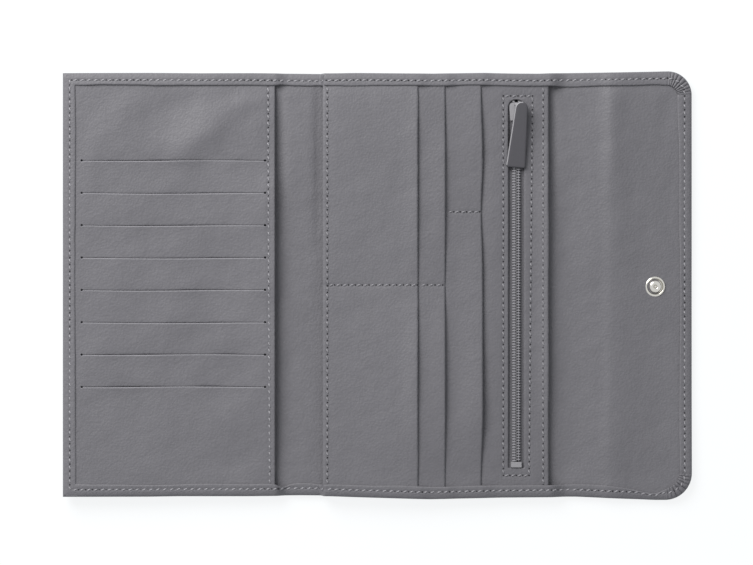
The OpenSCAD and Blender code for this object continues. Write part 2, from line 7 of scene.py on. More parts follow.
import bmesh
import bpy
import numpy as np
from mathutils import Vector
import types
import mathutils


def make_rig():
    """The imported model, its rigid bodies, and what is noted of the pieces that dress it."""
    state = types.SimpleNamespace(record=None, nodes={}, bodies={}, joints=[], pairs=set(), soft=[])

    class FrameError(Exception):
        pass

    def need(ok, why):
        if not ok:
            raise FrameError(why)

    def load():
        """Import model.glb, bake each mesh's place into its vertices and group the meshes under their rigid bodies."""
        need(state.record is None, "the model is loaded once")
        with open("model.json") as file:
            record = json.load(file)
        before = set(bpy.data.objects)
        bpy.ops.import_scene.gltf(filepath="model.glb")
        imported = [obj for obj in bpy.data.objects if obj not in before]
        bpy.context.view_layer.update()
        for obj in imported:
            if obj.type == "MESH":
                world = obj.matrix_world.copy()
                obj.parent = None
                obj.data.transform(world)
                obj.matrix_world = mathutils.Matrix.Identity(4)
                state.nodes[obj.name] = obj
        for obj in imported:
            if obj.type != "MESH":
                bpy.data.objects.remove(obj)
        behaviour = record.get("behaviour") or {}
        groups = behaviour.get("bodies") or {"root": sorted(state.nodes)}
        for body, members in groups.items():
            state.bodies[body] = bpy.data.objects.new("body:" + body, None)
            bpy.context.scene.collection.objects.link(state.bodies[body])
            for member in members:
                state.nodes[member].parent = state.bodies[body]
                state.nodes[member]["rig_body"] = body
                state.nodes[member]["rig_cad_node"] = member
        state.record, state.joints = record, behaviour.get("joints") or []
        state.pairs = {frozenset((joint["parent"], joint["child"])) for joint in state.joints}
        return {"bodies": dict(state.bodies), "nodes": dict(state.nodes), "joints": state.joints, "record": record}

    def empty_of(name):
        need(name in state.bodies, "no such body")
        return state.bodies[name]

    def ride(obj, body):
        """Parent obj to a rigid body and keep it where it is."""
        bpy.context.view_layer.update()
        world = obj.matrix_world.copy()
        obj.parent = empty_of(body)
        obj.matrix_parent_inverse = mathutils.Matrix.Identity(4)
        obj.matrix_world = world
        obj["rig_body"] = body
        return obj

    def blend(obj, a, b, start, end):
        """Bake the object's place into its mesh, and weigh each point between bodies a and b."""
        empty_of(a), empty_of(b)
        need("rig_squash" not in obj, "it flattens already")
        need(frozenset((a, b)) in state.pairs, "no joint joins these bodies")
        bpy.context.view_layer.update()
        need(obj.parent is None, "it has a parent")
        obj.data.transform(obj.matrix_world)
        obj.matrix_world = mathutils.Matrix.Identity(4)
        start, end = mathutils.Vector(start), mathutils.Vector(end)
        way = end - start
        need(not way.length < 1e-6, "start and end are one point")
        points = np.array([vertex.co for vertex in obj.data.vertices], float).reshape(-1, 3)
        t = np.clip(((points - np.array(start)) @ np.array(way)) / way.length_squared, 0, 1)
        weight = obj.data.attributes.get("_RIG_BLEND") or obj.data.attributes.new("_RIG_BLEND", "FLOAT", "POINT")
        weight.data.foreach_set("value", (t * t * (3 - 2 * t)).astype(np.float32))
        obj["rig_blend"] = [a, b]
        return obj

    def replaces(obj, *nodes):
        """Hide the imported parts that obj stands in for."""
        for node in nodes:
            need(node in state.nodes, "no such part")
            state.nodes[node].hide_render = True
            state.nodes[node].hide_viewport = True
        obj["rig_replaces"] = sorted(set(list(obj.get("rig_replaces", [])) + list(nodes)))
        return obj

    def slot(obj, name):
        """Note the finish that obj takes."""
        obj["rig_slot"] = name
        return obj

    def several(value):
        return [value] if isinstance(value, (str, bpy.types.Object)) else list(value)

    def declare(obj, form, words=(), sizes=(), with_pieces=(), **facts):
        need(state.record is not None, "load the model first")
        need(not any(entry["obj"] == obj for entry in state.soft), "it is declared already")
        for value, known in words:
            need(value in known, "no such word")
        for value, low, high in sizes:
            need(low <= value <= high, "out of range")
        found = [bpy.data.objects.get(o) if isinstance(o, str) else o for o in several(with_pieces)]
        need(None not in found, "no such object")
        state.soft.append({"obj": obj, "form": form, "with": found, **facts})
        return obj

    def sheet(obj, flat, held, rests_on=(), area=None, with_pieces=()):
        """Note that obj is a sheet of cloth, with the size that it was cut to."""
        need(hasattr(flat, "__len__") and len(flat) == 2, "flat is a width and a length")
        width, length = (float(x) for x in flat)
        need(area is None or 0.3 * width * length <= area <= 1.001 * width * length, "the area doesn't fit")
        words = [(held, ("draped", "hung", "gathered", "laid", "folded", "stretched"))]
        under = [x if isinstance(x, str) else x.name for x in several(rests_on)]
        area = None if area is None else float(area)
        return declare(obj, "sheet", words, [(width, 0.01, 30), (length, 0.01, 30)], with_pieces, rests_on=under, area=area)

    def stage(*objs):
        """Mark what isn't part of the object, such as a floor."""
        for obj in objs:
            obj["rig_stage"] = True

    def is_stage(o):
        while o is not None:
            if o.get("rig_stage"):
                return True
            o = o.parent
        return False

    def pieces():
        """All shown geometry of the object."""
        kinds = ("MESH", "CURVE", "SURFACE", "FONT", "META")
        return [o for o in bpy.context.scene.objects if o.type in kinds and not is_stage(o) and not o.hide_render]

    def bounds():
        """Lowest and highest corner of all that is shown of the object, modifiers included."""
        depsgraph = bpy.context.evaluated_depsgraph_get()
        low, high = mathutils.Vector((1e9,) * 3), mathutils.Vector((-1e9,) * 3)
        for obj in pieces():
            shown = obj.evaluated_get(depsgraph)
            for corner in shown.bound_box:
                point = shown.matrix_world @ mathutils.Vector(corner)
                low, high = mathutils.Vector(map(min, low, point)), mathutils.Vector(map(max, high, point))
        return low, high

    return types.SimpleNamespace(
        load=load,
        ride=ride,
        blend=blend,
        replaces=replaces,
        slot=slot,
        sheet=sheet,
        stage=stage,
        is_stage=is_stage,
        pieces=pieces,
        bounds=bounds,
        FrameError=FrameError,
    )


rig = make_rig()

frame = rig.load()
cad_box = [list(corner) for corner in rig.bounds()]

MM = 0.001
JOINTS = {joint["name"]: joint for joint in frame["joints"]}


def mesh_points(mesh):
    """A mesh's points in millimetres."""
    points = np.empty(len(mesh.vertices) * 3)
    mesh.vertices.foreach_get("co", points)
    return points.reshape(-1, 3) / MM


def node_points(node):
    """A CAD node's points at rest."""
    return mesh_points(frame["nodes"][node].data)


def node_box(node):
    points = node_points(node)
    return points.min(0), points.max(0)


# Places from the frame
FOLDS = ("cover_fold", "spine_fold", "flap_spine_fold", "flap_fold")
FOLD_PLACES = [JOINTS[name]["pos_m"][0] / MM for name in FOLDS]
COVER_FOLD, BACK_FOLD, FLAP_SPINE_FOLD, FLAP_FOLD = FOLD_PLACES
FOLD_Z = JOINTS["flap_fold"]["pos_m"][2] / MM
COVER_TILT = math.radians(90 - JOINTS["cover_fold"]["range_deg"][1])
RIGHT = node_box("flap_shell")[1][0]
LEFT = -RIGHT
TOP = node_box("back_shell")[1][1]
INNER_Y = node_box("zip_panel")[1][1]
PANEL_CORNERS = [node_box(node)[1] for node in ("pocket_a", "pocket_b", "pocket_c", "zip_panel")]
EDGE_A, EDGE_B, EDGE_C, EDGE_D = (corner[0] for corner in PANEL_CORNERS)
TOP_A, TOP_B, TOP_C, TOP_D = (corner[2] for corner in PANEL_CORNERS)
BACK_EDGE = node_box("pocket_a")[0][0]
STUD_X, STUD_Y, _ = np.mean(node_box("clasp_stud"), axis=0)
ZIP_X = np.mean(node_box("zip_bottom_stop"), axis=0)[0]

# Leather
SHELL_T = 1.2
TURN_T = 0.8
LINING_T = 0.8
PANEL_T = 0.8
RIM_W = 6.0
RIM_STITCH = 3.5
EDGE_R = 1.4
INNER_R = EDGE_R + 0.2
LINING_INSET = SHELL_T + 0.4
FOLD_GAP = 1.5
CORNER_R_TOP = 11.5
CORNER_R_BOTTOM = 13.0
MITRE = 16.0
FOLD_REACH = 4.0
PLEATS = 9
PLEAT_H = 0.75

# How finely the skins are divided
SKIN_STEP = 1.6
SKIN_ROWS = 101
LINING_STEP = 2.0
LINING_ROWS = 121
BEND_STEP = 1.4

# Zip window and its frame of stitches
WINDOW_W = 7.4
WINDOW_HALF = WINDOW_W / 2
WINDOW_TOP = 89.2
WINDOW_BOTTOM = -87.4
WINDOW_REACH = 8
FRAME_LEFT = -6.2
FRAME_RIGHT_TOP = 7.8
FRAME_RIGHT_BOTTOM = 6.2
FRAME_TOP = 90.9
FRAME_BOTTOM = -91.1

# Card slits
SLIT_COUNT = 8
SLIT_PITCH = 15.5
FIRST_SLIT = 42.1
SLIT_W = 87.8
SLIT_CUT = 0.18
SLIT_HOLE_R = 0.55
SLIT_EDGE = 0.5
SLIT_INSET = 4.8

# Seams and the grooves that they pull
STITCH_PITCH = 3.3
RIM_GROOVE = 0.28
UNDER_SEAM = 0.12
SEAM_DIP = 0.15
PIN_DIP = 0.3
BACK_SEAM = 2.2
HEM = 2.6

# The photograph's frame
PHOTO_W = 361.44
PHOTO_X = -0.6
PHOTO_Y = 1.44

# Shape helpers


def smooth(t):
    """An eased step from 0 to 1."""
    t = np.clip(t, 0, 1)
    return t * t * (3 - 2 * t)


def bell(gap, width):
    """1 where the gap is 0, and little from two widths away."""
    return np.exp(-((gap / width) ** 2))


def hill(x, middle, reach):
    """1 at the middle and 0 from reach away."""
    return smooth(1 - np.abs(x - middle) / reach)


def within_rims(y, reach, margin=0.0):
    """0 at the long rims' inner edge and 1 from reach inside it."""
    return smooth((TOP - RIM_W - margin - np.abs(y)) / reach)


def ridge(x, y, start, end, width):
    """A soft ridge along a line from start to end."""
    start, end = np.array(start, float), np.array(end, float)
    along = end - start
    t = np.clip(((x - start[0]) * along[0] + (y - start[1]) * along[1]) / (along @ along), 0, 1)
    return bell(np.hypot(x - start[0] - t * along[0], y - start[1] - t * along[1]), width)


def waves(seed, length, count=16):
    """A seeded unevenness with about this wavelength and a spread of 1."""
    rng = np.random.default_rng(seed)
    turn = rng.uniform(0, 2 * math.pi, count)
    pace = 2 * math.pi / (length * rng.uniform(0.6, 1.7, count))
    phase = rng.uniform(0, 2 * math.pi, count)

    def height(x, y):
        total = 0
        for a, k, p in zip(turn, pace, phase):
            total = total + np.sin(k * (x * math.cos(a) + y * math.sin(a)) + p)
        return total / math.sqrt(count / 2)

    return height


BROAD = waves(3, 46)
FINE = waves(5, 15)
CARD_WAVES = waves(8, 34)
FLAP_WAVES = waves(12, 40)

# Heights and outline of the whole wallet

BEND = 3.7
ARCH = 0.6
CREST = 0.9
CORNER_LIFT = 1.3
CARD_SAG = 1.6

# How far the long edges wander off their straight lines, at places along the wallet
UPPER_X = [-151, -110, -85, -60, -40, -23, -10, 14, 27, 40, 52, 64, 77, 89, 115, 127, 139, 151]
UPPER_Y = [-0.2, -0.05, -0.2, 0, -0.15, -0.35, -0.15, -0.35, -0.4]
UPPER_Y += [-0.15, 0, -0.25, -0.35, 0.1, 0.4, 0.7, 1, 1]
LOWER_X = [-151, -110, -95, -62, -37, -23, -10, 25, 60, 95, 133, 151]
LOWER_Y = [0.7, 0.75, 0.95, 0.9, 1.1, 1.0, 0.55, -0.5, 0.2, 0.45, -1.1, -1.0]


def ground(x, y):
    """How far the laminate stands off the table: an arch over the flap's fold and a lifted corner."""
    bend = FLAP_FOLD + BEND - smooth((-y - 30) / 70)
    arch = ARCH * smooth((x - FLAP_FOLD + 24) / 26) * smooth((bend + 26 - x) / 24)
    crest = CREST * bell(x - bend, np.where(x < bend, 4.2, 10.0))
    corner = CORNER_LIFT * smooth((x - 118) / 34) * smooth((-y - 40) / 62)
    return (arch + crest) * smooth((x - FLAP_SPINE_FOLD) / 6) + corner


def top_edge(x):
    return TOP + np.interp(x, UPPER_X, UPPER_Y)


def bottom_edge(x):
    return -TOP + np.interp(x, LOWER_X, LOWER_Y)


def corner_sag(x, y):
    """The card panel's upper corner by the spine lies lower than its card pockets."""
    return CARD_SAG * smooth((x + 84) / 32) * smooth((y - 62) / 32)


def swell(y, near, far):
    """Rise of the leather just inside the upper rim, in a short and a long run."""
    depth = np.maximum(TOP - RIM_W - y, 0)
    return (near * (1 - np.exp(-depth / 2.5)) + far * (1 - np.exp(-depth / 9))) * smooth((y + 20) / 90)


# Where the rim steps from panel to panel, by how much and over which length
RIM_STEPS = [
    (BACK_EDGE - FOLD_GAP, TOP_A - FOLD_Z, 2.5),
    (EDGE_A, TOP_B - TOP_A, 7),
    (EDGE_B, TOP_C - TOP_B, 7),
    (EDGE_C, TOP_D - TOP_C, 7),
    (EDGE_D, FOLD_Z - TOP_D, 9),
]


def rim_top(x, y):
    """Top of the turned edge above the ground: it lies on the stack and steps down with it."""
    spine_top = FOLD_Z + TURN_T
    card_top = CARD_TOP + TURN_T - corner_sag(x, y)
    height = spine_top + (card_top - spine_top) * smooth((COVER_FOLD + 4.6 - x) / 6.4)
    for start, step, run in RIM_STEPS:
        height = height + step * smooth((x - start) / run)
    return height


def tilt(points, weight=1.0):
    """Raises the cover's free side about the cover's fold, as the CAD does at rest."""
    angle = COVER_TILT * np.asarray(weight, float)
    x, z = points[:, 0] - COVER_FOLD, points[:, 2] - FOLD_Z
    tilted = points.copy()
    tilted[:, 0] = COVER_FOLD + x * np.cos(angle) + z * np.sin(angle)
    tilted[:, 2] = FOLD_Z - x * np.sin(angle) + z * np.cos(angle)
    return tilted


def tilt_over_fold(points):
    """The cover's tilt, fading out to the spine with the same run as the blend over the fold."""
    return tilt(points, 1 - smooth((points[:, 0] - COVER_FOLD + FOLD_REACH) / (2 * FOLD_REACH)))


def untilted_box(node):
    points = tilt(node_points(node), -1.0)
    return points.min(0), points.max(0)


CARD_EDGE, _, CARD_TOP = untilted_box("card_face")[1]

# Materials


def shader(name):
    material = bpy.data.materials.new(name)
    material.use_nodes = True
    tree = material.node_tree
    return material, tree, tree.nodes["Principled BSDF"]


def srgb(red, green, blue):
    """Linear colour from 8-bit display values."""
    def linear(v):
        v = v / 255
        return v / 12.92 if v <= 0.04045 else ((v + 0.055) / 1.055) ** 2.4
    return (linear(red), linear(green), linear(blue))


def add(tree, kind, **values):
    """A node with its inputs and settings."""
    node = tree.nodes.new(kind)
    for key, value in values.items():
        if key in node.inputs:
            node.inputs[key].default_value = value
        else:
            setattr(node, key, value)
    return node


def rest_place(tree):
    """The point's place at rest, which bends and folds carry along."""
    return add(tree, "ShaderNodeAttribute", attribute_name="rest").outputs["Vector"]


def texture(tree, kind, place, output="Fac", **values):
    """One output of a texture at a place."""
    node = add(tree, "ShaderNodeTex" + kind, **values)
    tree.links.new(place, node.inputs["Vector"])
    return node.outputs[output]


def spread(tree, value, low, high, **settings):
    """A value from 0 to 1 spread from low to high."""
    node = add(tree, "ShaderNodeMapRange", **{"To Min": low, "To Max": high}, **settings)
    tree.links.new(value, node.inputs["Value"])
    return node.outputs["Result"]


def combine(tree, operation, first, second=0):
    """The result of one sum on two sockets or numbers."""
    node = add(tree, "ShaderNodeMath", operation=operation)
    for socket, value in zip(node.inputs, (first, second)):
        if isinstance(value, (int, float)):
            socket.default_value = value
        else:
            tree.links.new(value, socket)
    return node.outputs["Value"]


def bump(tree, height, distance, below=None):
    node = add(tree, "ShaderNodeBump", Strength=1.0, Distance=distance)
    tree.links.new(height, node.inputs["Height"])
    if below is not None:
        tree.links.new(below, node.inputs["Normal"])
    return node.outputs["Normal"]


def dress(tree, skin, colour, shade, rough, normal):
    """Gives the skin its shaded colour, roughness and normal."""
    tint = add(tree, "ShaderNodeVectorMath", operation="SCALE")
    tint.inputs[0].default_value = colour
    tree.links.new(shade, tint.inputs["Scale"])
    tree.links.new(tint.outputs["Vector"], skin.inputs["Base Color"])
    tree.links.new(rough, skin.inputs["Roughness"])
    tree.links.new(normal, skin.inputs["Normal"])


def leather(name, colour):
    """Smooth full-grain leather: pebbled grain, fine creases, cloudy colour and uneven sheen."""
    material, tree, skin = shader(name)
    place = rest_place(tree)
    cloud = texture(tree, "Noise", place, Scale=34, Detail=3)
    mottle = texture(tree, "Noise", place, Scale=260, Detail=4)
    swirl = texture(tree, "Noise", place, "Color", Scale=420, Detail=1)
    warp = add(tree, "ShaderNodeVectorMath", operation="MULTIPLY_ADD")
    warp.inputs[1].default_value = (0.0012, 0.0012, 0.0012)
    tree.links.new(swirl, warp.inputs[0])
    tree.links.new(place, warp.inputs[2])
    warped = warp.outputs["Vector"]
    grain = texture(tree, "Voronoi", warped, "Distance", feature="SMOOTH_F1", Scale=900, Smoothness=0.6)
    crease = texture(tree, "Voronoi", warped, "Distance", feature="DISTANCE_TO_EDGE", Scale=210)
    crease = spread(tree, combine(tree, "MINIMUM", crease, 0.12), 0, 1)

    shade = combine(tree, "ADD", spread(tree, cloud, -0.055, 0.055), spread(tree, mottle, -0.07, 0.07))
    shade = combine(tree, "ADD", shade, spread(tree, grain, 0.03, -0.05))
    shade = combine(tree, "ADD", shade, 1.0)
    sheen = combine(tree, "MULTIPLY", combine(tree, "ADD", cloud, mottle), 0.5)
    normal = bump(tree, mottle, 0.00016)
    normal = bump(tree, crease, 0.00003, below=normal)
    normal = bump(tree, grain, 0.00012, below=normal)
    dress(tree, skin, colour, shade, spread(tree, sheen, 0.44, 0.58), normal)
    skin.inputs["Specular IOR Level"].default_value = 0.34
    return material


def cut_edge(name, colour):
    """Raw cut edge of leather or board, with fine fibres."""
    material, tree, skin = shader(name)
    fibre = texture(tree, "Noise", rest_place(tree), Scale=2600, Detail=3)
    shade, rough = spread(tree, fibre, 0.8, 1.2), spread(tree, fibre, 0.7, 0.9)
    dress(tree, skin, colour, shade, rough, bump(tree, fibre, 0.0002))
    return material


def woven(name, colour, pitch):
    """Woven fabric with ribs both ways, a pitch apart across the wallet and wider along it."""
    material, tree, skin = shader(name)
    place = rest_place(tree)
    across, along = (
        texture(tree, "Wave", place, bands_direction=axis, Scale=0.314 / gap * 1000, Distortion=0.4)
        for axis, gap in (("X", pitch), ("Y", pitch * 1.3))
    )
    weave = combine(tree, "MULTIPLY", across, along)
    fuzz = texture(tree, "Noise", place, Scale=1800, Detail=2)
    shade = combine(tree, "ADD", spread(tree, weave, 0.7, 1.15), spread(tree, fuzz, -0.1, 0.1))
    dress(tree, skin, colour, shade, spread(tree, fuzz, 0.75, 0.95), bump(tree, weave, 0.0001))
    return material


def thread(name, colour):
    """Twisted sewing thread."""
    material, tree, skin = shader(name)
    place = rest_place(tree)
    ply = texture(tree, "Wave", place, bands_direction="DIAGONAL", Scale=520, Distortion=1)
    fuzz = texture(tree, "Noise", place, Scale=3000, Detail=2)
    shade = combine(tree, "ADD", spread(tree, ply, 0.86, 1.1), spread(tree, fuzz, -0.12, 0.12))
    dress(tree, skin, colour, shade, spread(tree, fuzz, 0.45, 0.65), bump(tree, ply, 0.00006))
    return material


def painted(name, colour, rough, metal=0.0, scratch=0.05, shine=0.5, seam=False):
    """Lacquer, moulded nylon or plated metal with fine wear in its sheen, and painted shade down the zip's seam."""
    material, tree, skin = shader(name)
    place = rest_place(tree)
    wear = texture(tree, "Noise", place, Scale=700, Detail=5)
    fine = texture(tree, "Noise", place, Scale=4200, Detail=2)
    shade = spread(tree, wear, 1 - scratch, 1 + scratch)
    # seam: painted shade, darker down the zip's middle where the coils interlock and a little lighter beside it
    if seam:
        split = add(tree, "ShaderNodeSeparateXYZ")
        tree.links.new(place, split.inputs["Vector"])
        away = combine(tree, "ABSOLUTE", combine(tree, "SUBTRACT", split.outputs["X"], ZIP_X * MM))
        run = {"interpolation_type": "SMOOTHSTEP", "From Min": 0.0001, "From Max": 0.0008}
        shade = combine(tree, "MULTIPLY", shade, spread(tree, away, 0.55, 1.1, **run))
    dress(tree, skin, colour, shade, spread(tree, wear, rough * 0.75, rough * 1.3), bump(tree, fine, 0.00002))
    skin.inputs["Metallic"].default_value = metal
    skin.inputs["Specular IOR Level"].default_value = shine
    return material


OUTER = leather("outer_leather", srgb(118, 117, 122))
LINING = leather("lining_leather", srgb(117, 116, 121))
POCKET = leather("pocket_leather", srgb(117, 116, 121))
# A darker copy of the pocket leather: painted shade for the panels lying in the shadow of the raised pocket mouths
POCKET_PAINTED_SHADE = leather("pocket_leather_deep", srgb(113, 112, 117))
RAW_EDGE = cut_edge("leather_cut_edge", srgb(150, 149, 155))
# Ink on the turned edge's cut, made dark also as painted shade for the crevice along the rim
EDGE_INK_AND_SHADE = cut_edge("inked_cut_edge", srgb(98, 97, 101))
THREAD = thread("sewing_thread", srgb(160, 159, 164))
PANEL_THREAD = thread("panel_thread", srgb(146, 145, 150))
# Painted shade: the needle holes are dark discs, not recesses
NEEDLE_HOLE_SHADE = painted("needle_hole", srgb(44, 43, 47), 0.9)
BAG_CLOTH = woven("bag_cloth", srgb(72, 71, 76), 0.35)
TAPE_CLOTH = woven("tape_cloth", srgb(118, 117, 122), 0.6)
CARD_CLOTH = woven("card_sheet_cloth", srgb(88, 87, 92), 0.3)
# The coil's colour carries painted shade down the zip's middle.
NYLON = painted("coil_nylon", srgb(146, 145, 150), 0.42, seam=True)
LACQUER = painted("pull_lacquer", srgb(81, 80, 85), 0.42, shine=0.4)
# Painted highlight: a light lacquer for the pull's chamfer on the side that the key light falls on
PAINTED_HIGHLIGHT_CHAMFER = painted("polished_chamfer", srgb(160, 159, 163), 0.35)
SLIDER_METAL = painted("slider_lacquered_metal", srgb(158, 157, 161), 0.3)
STOP_METAL = painted("stop_metal", srgb(150, 149, 152), 0.42, metal=0.5)
NICKEL = painted("clasp_nickel", srgb(206, 203, 196), 0.13, metal=1.0, scratch=0.03)
BOARD = cut_edge("stiffening_board", srgb(118, 112, 104))

# Meshes


def remember_rest(mesh, points):
    """Keeps each point's place at rest for the textures."""
    rest = mesh.attributes.new("rest", "FLOAT_VECTOR", "POINT")
    rest.data.foreach_set("vector", (points * MM).astype(np.float32).ravel())


def make(name, points, faces, materials, indices=None, sharp=40):
    """A mesh object from points in millimetres, each face with its material."""
    points = np.asarray(points)
    mesh = bpy.data.meshes.new(name)
    mesh.from_pydata((points * MM).tolist(), [], [list(map(int, face)) for face in faces])
    for material in materials:
        mesh.materials.append(material)
    if indices is not None:
        mesh.polygons.foreach_set("material_index", np.asarray(indices, np.int32))
    mesh.shade_smooth()
    mesh.set_sharp_from_angle(angle=math.radians(sharp))
    remember_rest(mesh, points)
    piece = bpy.data.objects.new(name, mesh)
    bpy.context.scene.collection.objects.link(piece)
    return piece


def move(piece, change):
    """Moves a piece's points by a function of all of them."""
    points = change(mesh_points(piece.data))
    piece.data.vertices.foreach_set("co", (points * MM).ravel())
    piece.data.update()


def mark(piece, slot, *nodes):
    """Says what a piece is made of and which CAD nodes it stands for."""
    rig.slot(piece, slot)
    if nodes:
        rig.replaces(piece, *nodes)
    return piece


def band(first, second):
    """Faces between two rows of points."""
    return np.stack([first[:-1], first[1:], second[1:], second[:-1]], axis=1)


def grid_faces(nx, ny, keep=None):
    """Faces of an nx by ny grid, seen anticlockwise from above."""
    i, j = np.meshgrid(np.arange(nx - 1), np.arange(ny - 1), indexing="ij")
    corner = i * ny + j
    faces = np.stack([corner, corner + ny, corner + ny + 1, corner + 1], axis=-1)
    return faces.reshape(-1, 4) if keep is None else faces[keep].reshape(-1, 4)


def sheet_solid(name, x, y, high, low, materials, keep=None, sharp=40, raw=None):
    """A closed sheet over a grid of x and y, between two heights and without the faces that keep drops.
    Its edges get walls of the last material, and so do the upper faces that raw marks."""
    top, under = (np.column_stack([x.ravel(), y.ravel(), z.ravel()]) for z in (high, low))
    faces = grid_faces(*x.shape, keep)
    count = len(top)
    a, b = faces.ravel(), np.roll(faces, -1, axis=1).ravel()
    rim = ~np.isin(a * count + b, b * count + a)
    walls = np.stack([b[rim], a[rim], a[rim] + count, b[rim] + count], axis=1)
    every = np.concatenate([faces, faces[:, ::-1] + count, walls])
    used, inverse = np.unique(every, return_inverse=True)
    points = np.concatenate([top, under])[used]
    indices = np.zeros(len(every), int)
    indices[2 * len(faces):] = len(materials) - 1
    if raw is not None:
        indices[:len(faces)][raw] = len(materials) - 1
    return make(name, points, inverse.reshape(every.shape), materials, indices, sharp)


def spaced(start, end, step, dense=(), reach=3.0, fine=0.4):
    """Places from start to end, a step apart, and closer around the dense ones."""
    marks = {start, end}
    for place in dense:
        marks.update(edge for edge in (place - reach, place + reach) if start < edge < end)
    marks = sorted(marks)
    slack = 1e-6
    places = []
    for low, high in zip(marks, marks[1:]):
        near = any(low >= place - reach - slack and high <= place + reach + slack for place in dense)
        count = max(1, int(math.ceil((high - low) / (fine if near else step))))
        places.extend(np.linspace(low, high, count, endpoint=False))
    return np.array(places + [end])


def across(xs, half):
    """A grid whose columns at xs reach from -half to half."""
    return np.repeat(xs[:, None], LINING_ROWS, axis=1), half[:, None] * np.linspace(-1, 1, LINING_ROWS)


def round_ended(xs, half, radius):
    """The same, with columns added round the two corners at the end of xs."""
    turn = np.linspace(0, math.pi / 2, 12)[1:]
    ends = np.concatenate([xs, xs[-1] + radius * np.sin(turn)])
    return across(ends, np.concatenate([np.full(len(xs), half), half - radius + radius * np.cos(turn)]))


def box_grid(low, high, nx, ny):
    """An even grid of x and y between a box's corners."""
    return np.meshgrid(np.linspace(low[0], high[0], nx), np.linspace(low[1], high[1], ny), indexing="ij")


def circle(radius, steps):
    """Points round the origin, as (x, y)."""
    turn = np.arange(steps) * 2 * math.pi / steps
    return np.column_stack([radius * np.cos(turn), radius * np.sin(turn)])


def edge_round(gap, radius):
    """Drop of a rounded edge at a distance from it."""
    t = np.clip(1 - gap / radius, 0, 1)
    return radius * (1 - np.sqrt(np.clip(1 - t * t, 0, 1)))


# Outer leather with its turned edge

# Where the turned edge is pinched: place, depth, and its reach before and after
PINCHES = [(COVER_FOLD + 2, 1.5, 3.0, 3.0), (BACK_FOLD, 0.6, 3.0, 3.0), (133, 2.4, 12, 4.5)]


def rim_width(line):
    """Width of the turned edge: it wanders, narrows at the pinches, most on the lower edge, and is
    wider along the flap's upper edge."""
    x, y = line[:, 0], line[:, 1]
    width = RIM_W + 0.13 * BROAD(x, y * 0.6) + 0.05 * FINE(x, y)
    for middle, depth, before, after in PINCHES:
        pinch = bell(x - middle, np.where(x < middle, before, after))
        width = width - depth * pinch * np.where(y < 0, 1, 0.25)
    return width + 0.8 * smooth((x - 82) / 14) * smooth((y - 60) / 30)


def rim_seam(line):
    """How far the seam lies inside the edge."""
    return np.minimum(RIM_STITCH, rim_width(line) - 0.9)


def rim_skive(line):
    """How much thinner the turned edge is on the cover's free side."""
    return 0.3 * smooth(-(line[:, 0] - LEFT - 14) / 8) * np.abs(line[:, 3])


def mitre(gap):
    """1 at the cover's free corners and 0 from the mitre's length away."""
    return np.clip(1 - gap / MITRE, 0, 1)


